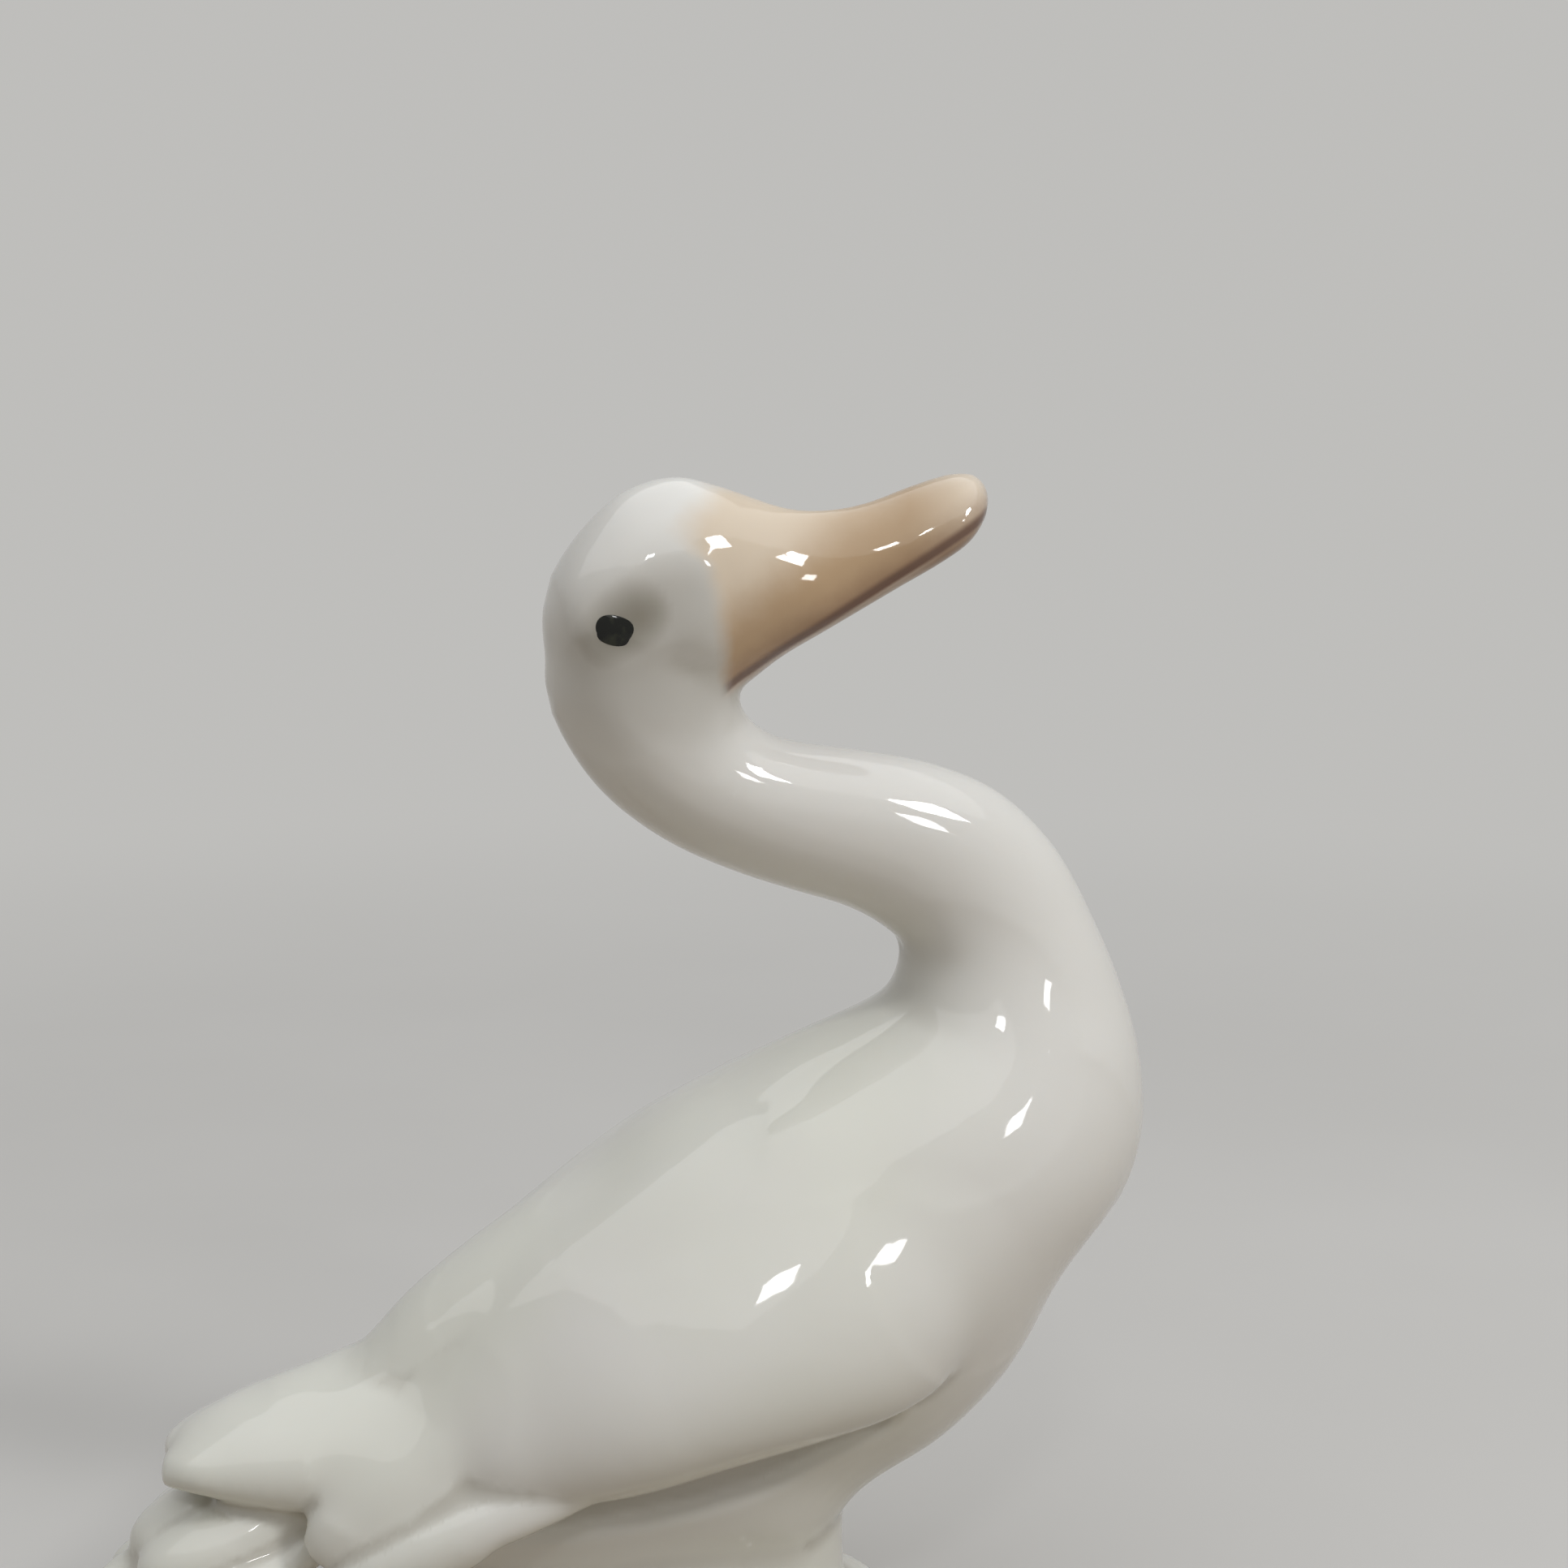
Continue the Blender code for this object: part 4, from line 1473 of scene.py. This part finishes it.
class Duck:
    """The whole figurine: its members, its cast skin and its eyes."""

    def __init__(self) -> None:
        """Set every member on the one that carries it."""
        self.plinth = Plinth()
        self.trunk = Trunk(self.plinth)
        self.stem = Stem(self.plinth, self.trunk)
        self.neck = Neck(self.trunk)
        self.head = Head(self.neck)
        self.bill = Bill(self.head)
        self.wings = [Wing(self.trunk, side) for side in Side]
        self.tail = Tail(self.trunk)
        self.eyes = [Eye(self.head, side) for side in Side]

    def cast(self) -> Skin:
        """Lay, fuse and shape the figure.

        Returns:
            The finished skin.
        """
        clay = Clay()
        for member in (self.plinth, self.stem, self.neck, self.bill, *self.wings, self.tail):
            member.lay(clay)
        softened = (self.head, self.trunk, *self.wings)
        skin = Skin(clay, [ball for member in softened for ball in member.soft_balls()])
        for member in (self.head, *self.wings, self.bill):
            member.shape(skin)
        skin.cut_flat()
        return skin

    def build(self) -> list[bpy.types.Object]:
        """Build and dress every piece.

        Returns:
            The body and the two eyes.
        """
        glaze_waves = wavy_glaze_group()
        skin = self.cast()
        # Masks of painted shade: in the creases, where the glaze also pools, and round the eyes and over the
        # cheeks
        masks = {CREASE_POOL_AND_SHADE_MASK: crease_shading(skin), SHADE_MASK: self.head.eye_shade(skin)}
        tree = skin.tree()
        body = new_object("glazed_body", skin.bm)
        body.data.shade_smooth()
        for name, mask in masks.items():
            attribute = body.data.attributes.new(name, "FLOAT", "POINT")
            attribute.data.foreach_set("value", mask)
        PorcelainFinish().dress(body, glaze_waves)
        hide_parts(CAD_NODE)
        pieces = [body]
        for eye in self.eyes:
            piece = eye.build(tree)
            EyeFinish().dress(piece, glaze_waves)
            pieces.append(piece)
        for piece in pieces:
            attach(piece, BODY)
            LOG.info("%s: %d faces", piece.name, len(piece.data.polygons))
        return pieces


def crease_shading(skin: Skin, reach: int = 14, full: float = 0.10 * MM) -> np.ndarray:
    """Return where painted shade lies in the creases, where the glaze also pools.

    Args:
        skin: The finished skin.
        reach: Smoothing rounds; more rounds find wider creases.
        full: How far a crease lies below its smoothed surroundings to count in full.

    Returns:
        A number for each vertex, from 0 on open skin to 1 in a crease.
    """
    skin.bm.normal_update()
    skin.bm.verts.index_update()
    places = np.array([vert.co[:] for vert in skin.bm.verts])
    normals = np.array([vert.normal[:] for vert in skin.bm.verts])
    ends = np.array([[edge.verts[0].index, edge.verts[1].index] for edge in skin.bm.edges])
    counts = np.bincount(ends.ravel(), minlength=len(places))[:, None]
    even = places.copy()
    for _ in range(reach):
        total = np.zeros_like(even)
        np.add.at(total, ends[:, 0], even[ends[:, 1]])
        np.add.at(total, ends[:, 1], even[ends[:, 0]])
        even = (even + total / counts) / 2
    depth = np.einsum("ij,ij->i", even - places, normals)
    return np.clip(depth / full, 0.0, 1.0).astype(np.float32)


@dataclass(frozen=True)
class Lamp:
    """One soft panel of light.

    Attributes:
        name: What the scene calls it.
        azimuth: Degrees round from the duck's right side, towards its front.
        elevation: Degrees above the floor's level.
        distance: How far it stands from the point it is aimed at.
        width: Its width.
        height: Its height.
        power: Its power in watts.
    """

    name: str
    azimuth: float
    elevation: float
    distance: float
    width: float
    height: float
    power: float

    def hang(self, aim: Vector) -> None:
        """Add the panel to the scene.

        Args:
            aim: The point that it is turned towards.
        """
        turn, rise = radians(self.azimuth), radians(self.elevation)
        away = Vector((sin(turn) * cos(rise), -cos(turn) * cos(rise), sin(rise)))
        light = bpy.data.lights.new(self.name, "AREA")
        light.shape = "RECTANGLE"
        light.size = self.width
        light.size_y = self.height
        light.energy = self.power
        panel = linked(self.name, light)
        panel.location = aim + away * self.distance
        panel.rotation_euler = (-away).to_track_quat("-Z", "Y").to_euler()


@dataclass
class Studio:
    """Pale floor, soft panels and the camera at the photograph's viewing angle.

    Attributes:
        floor_colour: The floor as it is seen.
        floor_shade: The floor's slightly darker clouds.
        floor_bounce: The floor in the light that it throws back onto the duck.
        seen_colour: The background as it is seen.
        near_floor: Distance from the duck where the floor starts to take that colour.
        far_floor: Distance where it has it in full.
        camera_azimuth: The camera's turn in degrees, below zero towards the duck's front.
        camera_dip: How far the camera looks down, in degrees.
    """

    aim: Point = (0.012, 0.0, 0.085)
    floor_size: float = 12.0
    near_floor: float = 0.15
    far_floor: float = 0.7
    floor_colour: Colour = (0.63, 0.62, 0.60, 1.0)
    floor_shade: Colour = (0.60, 0.59, 0.57, 1.0)
    floor_bounce: Colour = (0.34, 0.28, 0.21, 1.0)
    floor_roughness: float = 0.7
    cloud_scale: float = 6.0
    cloud_span: Flat = (0.3, 0.7)
    seen_colour: Colour = (0.520, 0.515, 0.500, 1.0)
    sky_colour: Colour = (0.60, 0.61, 0.62, 1.0)
    sky_strength: float = 0.31
    camera_place: Point = (-0.03806, -0.25432, 0.145)
    camera_azimuth: float = -12.0
    camera_dip: float = 8.07
    focal_length: float = 52.17
    sensor: float = 36.0
    near_clip: float = 0.01
    lamps: tuple[Lamp, ...] = (
        Lamp("window_upper_left", 42.0, 43.5, 0.95, 0.10, 0.075, 0.70),
        Lamp("window_upper_right", 49.0, 43.5, 0.95, 0.10, 0.075, 0.70),
        Lamp("window_lower_left", 42.0, 38.5, 0.95, 0.10, 0.075, 0.70),
        Lamp("window_lower_right", 49.0, 38.5, 0.95, 0.10, 0.075, 0.70),
        Lamp("far_window", -12.0, 41.0, 1.4, 0.16, 0.11, 1.2),
        Lamp("side_window", 31.0, 25.5, 0.95, 0.075, 0.11, 0.45),
        Lamp("ceiling", -60.0, 86.0, 1.5, 3.0, 3.0, 21.0),
    )

    def build(self) -> None:
        """Set up floor, light, camera and colour view."""
        self.lay_floor()
        self.light()
        self.set_camera()
        bpy.context.scene.view_settings.view_transform = "Standard"

    def lay_floor(self) -> None:
        """Lay the floor, which keeps the shadow and looks even to the camera."""
        bm = bmesh.new()
        bmesh.ops.create_grid(bm, x_segments=1, y_segments=1, size=self.floor_size / 2)
        floor = new_object("floor", bm)
        sheet = MaterialSheet("pale_floor")
        cloud = sheet.smooth_step(sheet.noise(sheet.place, self.cloud_scale, detail=4.0), self.cloud_span)
        seen = self.seen(sheet)
        colour = sheet.mix(cloud, self.floor_shade, self.floor_colour)
        colour = sheet.mix(seen, self.floor_bounce, colour)
        sheet.set(sheet.shader, Base_Color=colour, Roughness=self.floor_roughness)
        self.even_out(sheet, seen)
        floor.data.materials.append(sheet.material)

    def seen(self, sheet: NodeSheet) -> Socket:
        """Return whether light goes to the camera.

        Args:
            sheet: Any sheet.

        Returns:
            A socket that is 1 for what the camera sees, directly or in a gloss or glass,
            and 0 for other light.
        """
        rays = sheet.add("ShaderNodeLightPath")
        seen = sheet.math("MAXIMUM", rays.outputs["Is Camera Ray"], rays.outputs["Is Glossy Ray"])
        return sheet.math("MAXIMUM", seen, rays.outputs["Is Transmission Ray"])

    def even_out(self, sheet: MaterialSheet, seen: Socket) -> None:
        """Show the floor far from the duck in the background's colour, so that no horizon is seen.

        Args:
            sheet: The floor's sheet.
            seen: The socket that is 1 for what the camera sees.
        """
        length = sheet.add("ShaderNodeVectorMath", operation="LENGTH")
        sheet.feed(length.inputs[0], sheet.place)
        far = sheet.smooth_step(length.outputs["Value"], (self.near_floor, self.far_floor))
        plain = sheet.add("ShaderNodeEmission")
        sheet.feed(plain.inputs["Color"], self.seen_colour)
        both = sheet.add("ShaderNodeMixShader")
        sheet.feed(both.inputs[0], sheet.math("MULTIPLY", far, seen))
        sheet.feed(both.inputs[1], sheet.shader.outputs[0])
        sheet.feed(both.inputs[2], plain.outputs[0])
        output = next(node for node in sheet.tree.nodes if node.type == "OUTPUT_MATERIAL")
        sheet.feed(output.inputs["Surface"], both.outputs[0])

    def light(self) -> None:
        """Hang the panels and set the sky's light, with a plain pale background for the camera."""
        for lamp in self.lamps:
            lamp.hang(Vector(self.aim))
        world = bpy.data.worlds.new("studio")
        bpy.context.scene.world = world
        world.use_nodes = True
        sheet = NodeSheet(world.node_tree)
        seen = self.seen(sheet)
        sky = world.node_tree.nodes["Background"]
        sheet.feed(sky.inputs["Color"], sheet.mix(seen, self.sky_colour, self.seen_colour))
        strength = sheet.math("MULTIPLY", seen, 1.0 - self.sky_strength)
        sheet.feed(sky.inputs["Strength"], sheet.math("ADD", strength, self.sky_strength))

    def set_camera(self) -> None:
        """Stand the camera where the photograph was taken from."""
        data = bpy.data.cameras.new("camera")
        data.lens = self.focal_length
        data.sensor_width = self.sensor
        data.clip_start = self.near_clip
        camera = linked("camera", data)
        camera.location = self.camera_place
        camera.rotation_euler = Euler((radians(90.0 - self.camera_dip), 0.0, radians(self.camera_azimuth)))
        bpy.context.scene.camera = camera


def main() -> None:
    """Build the studio and the duck."""
    logging.basicConfig(level=logging.INFO, format="%(name)s: %(message)s")
    Studio().build()
    Duck().build()


if __name__ == "__main__":
    main()
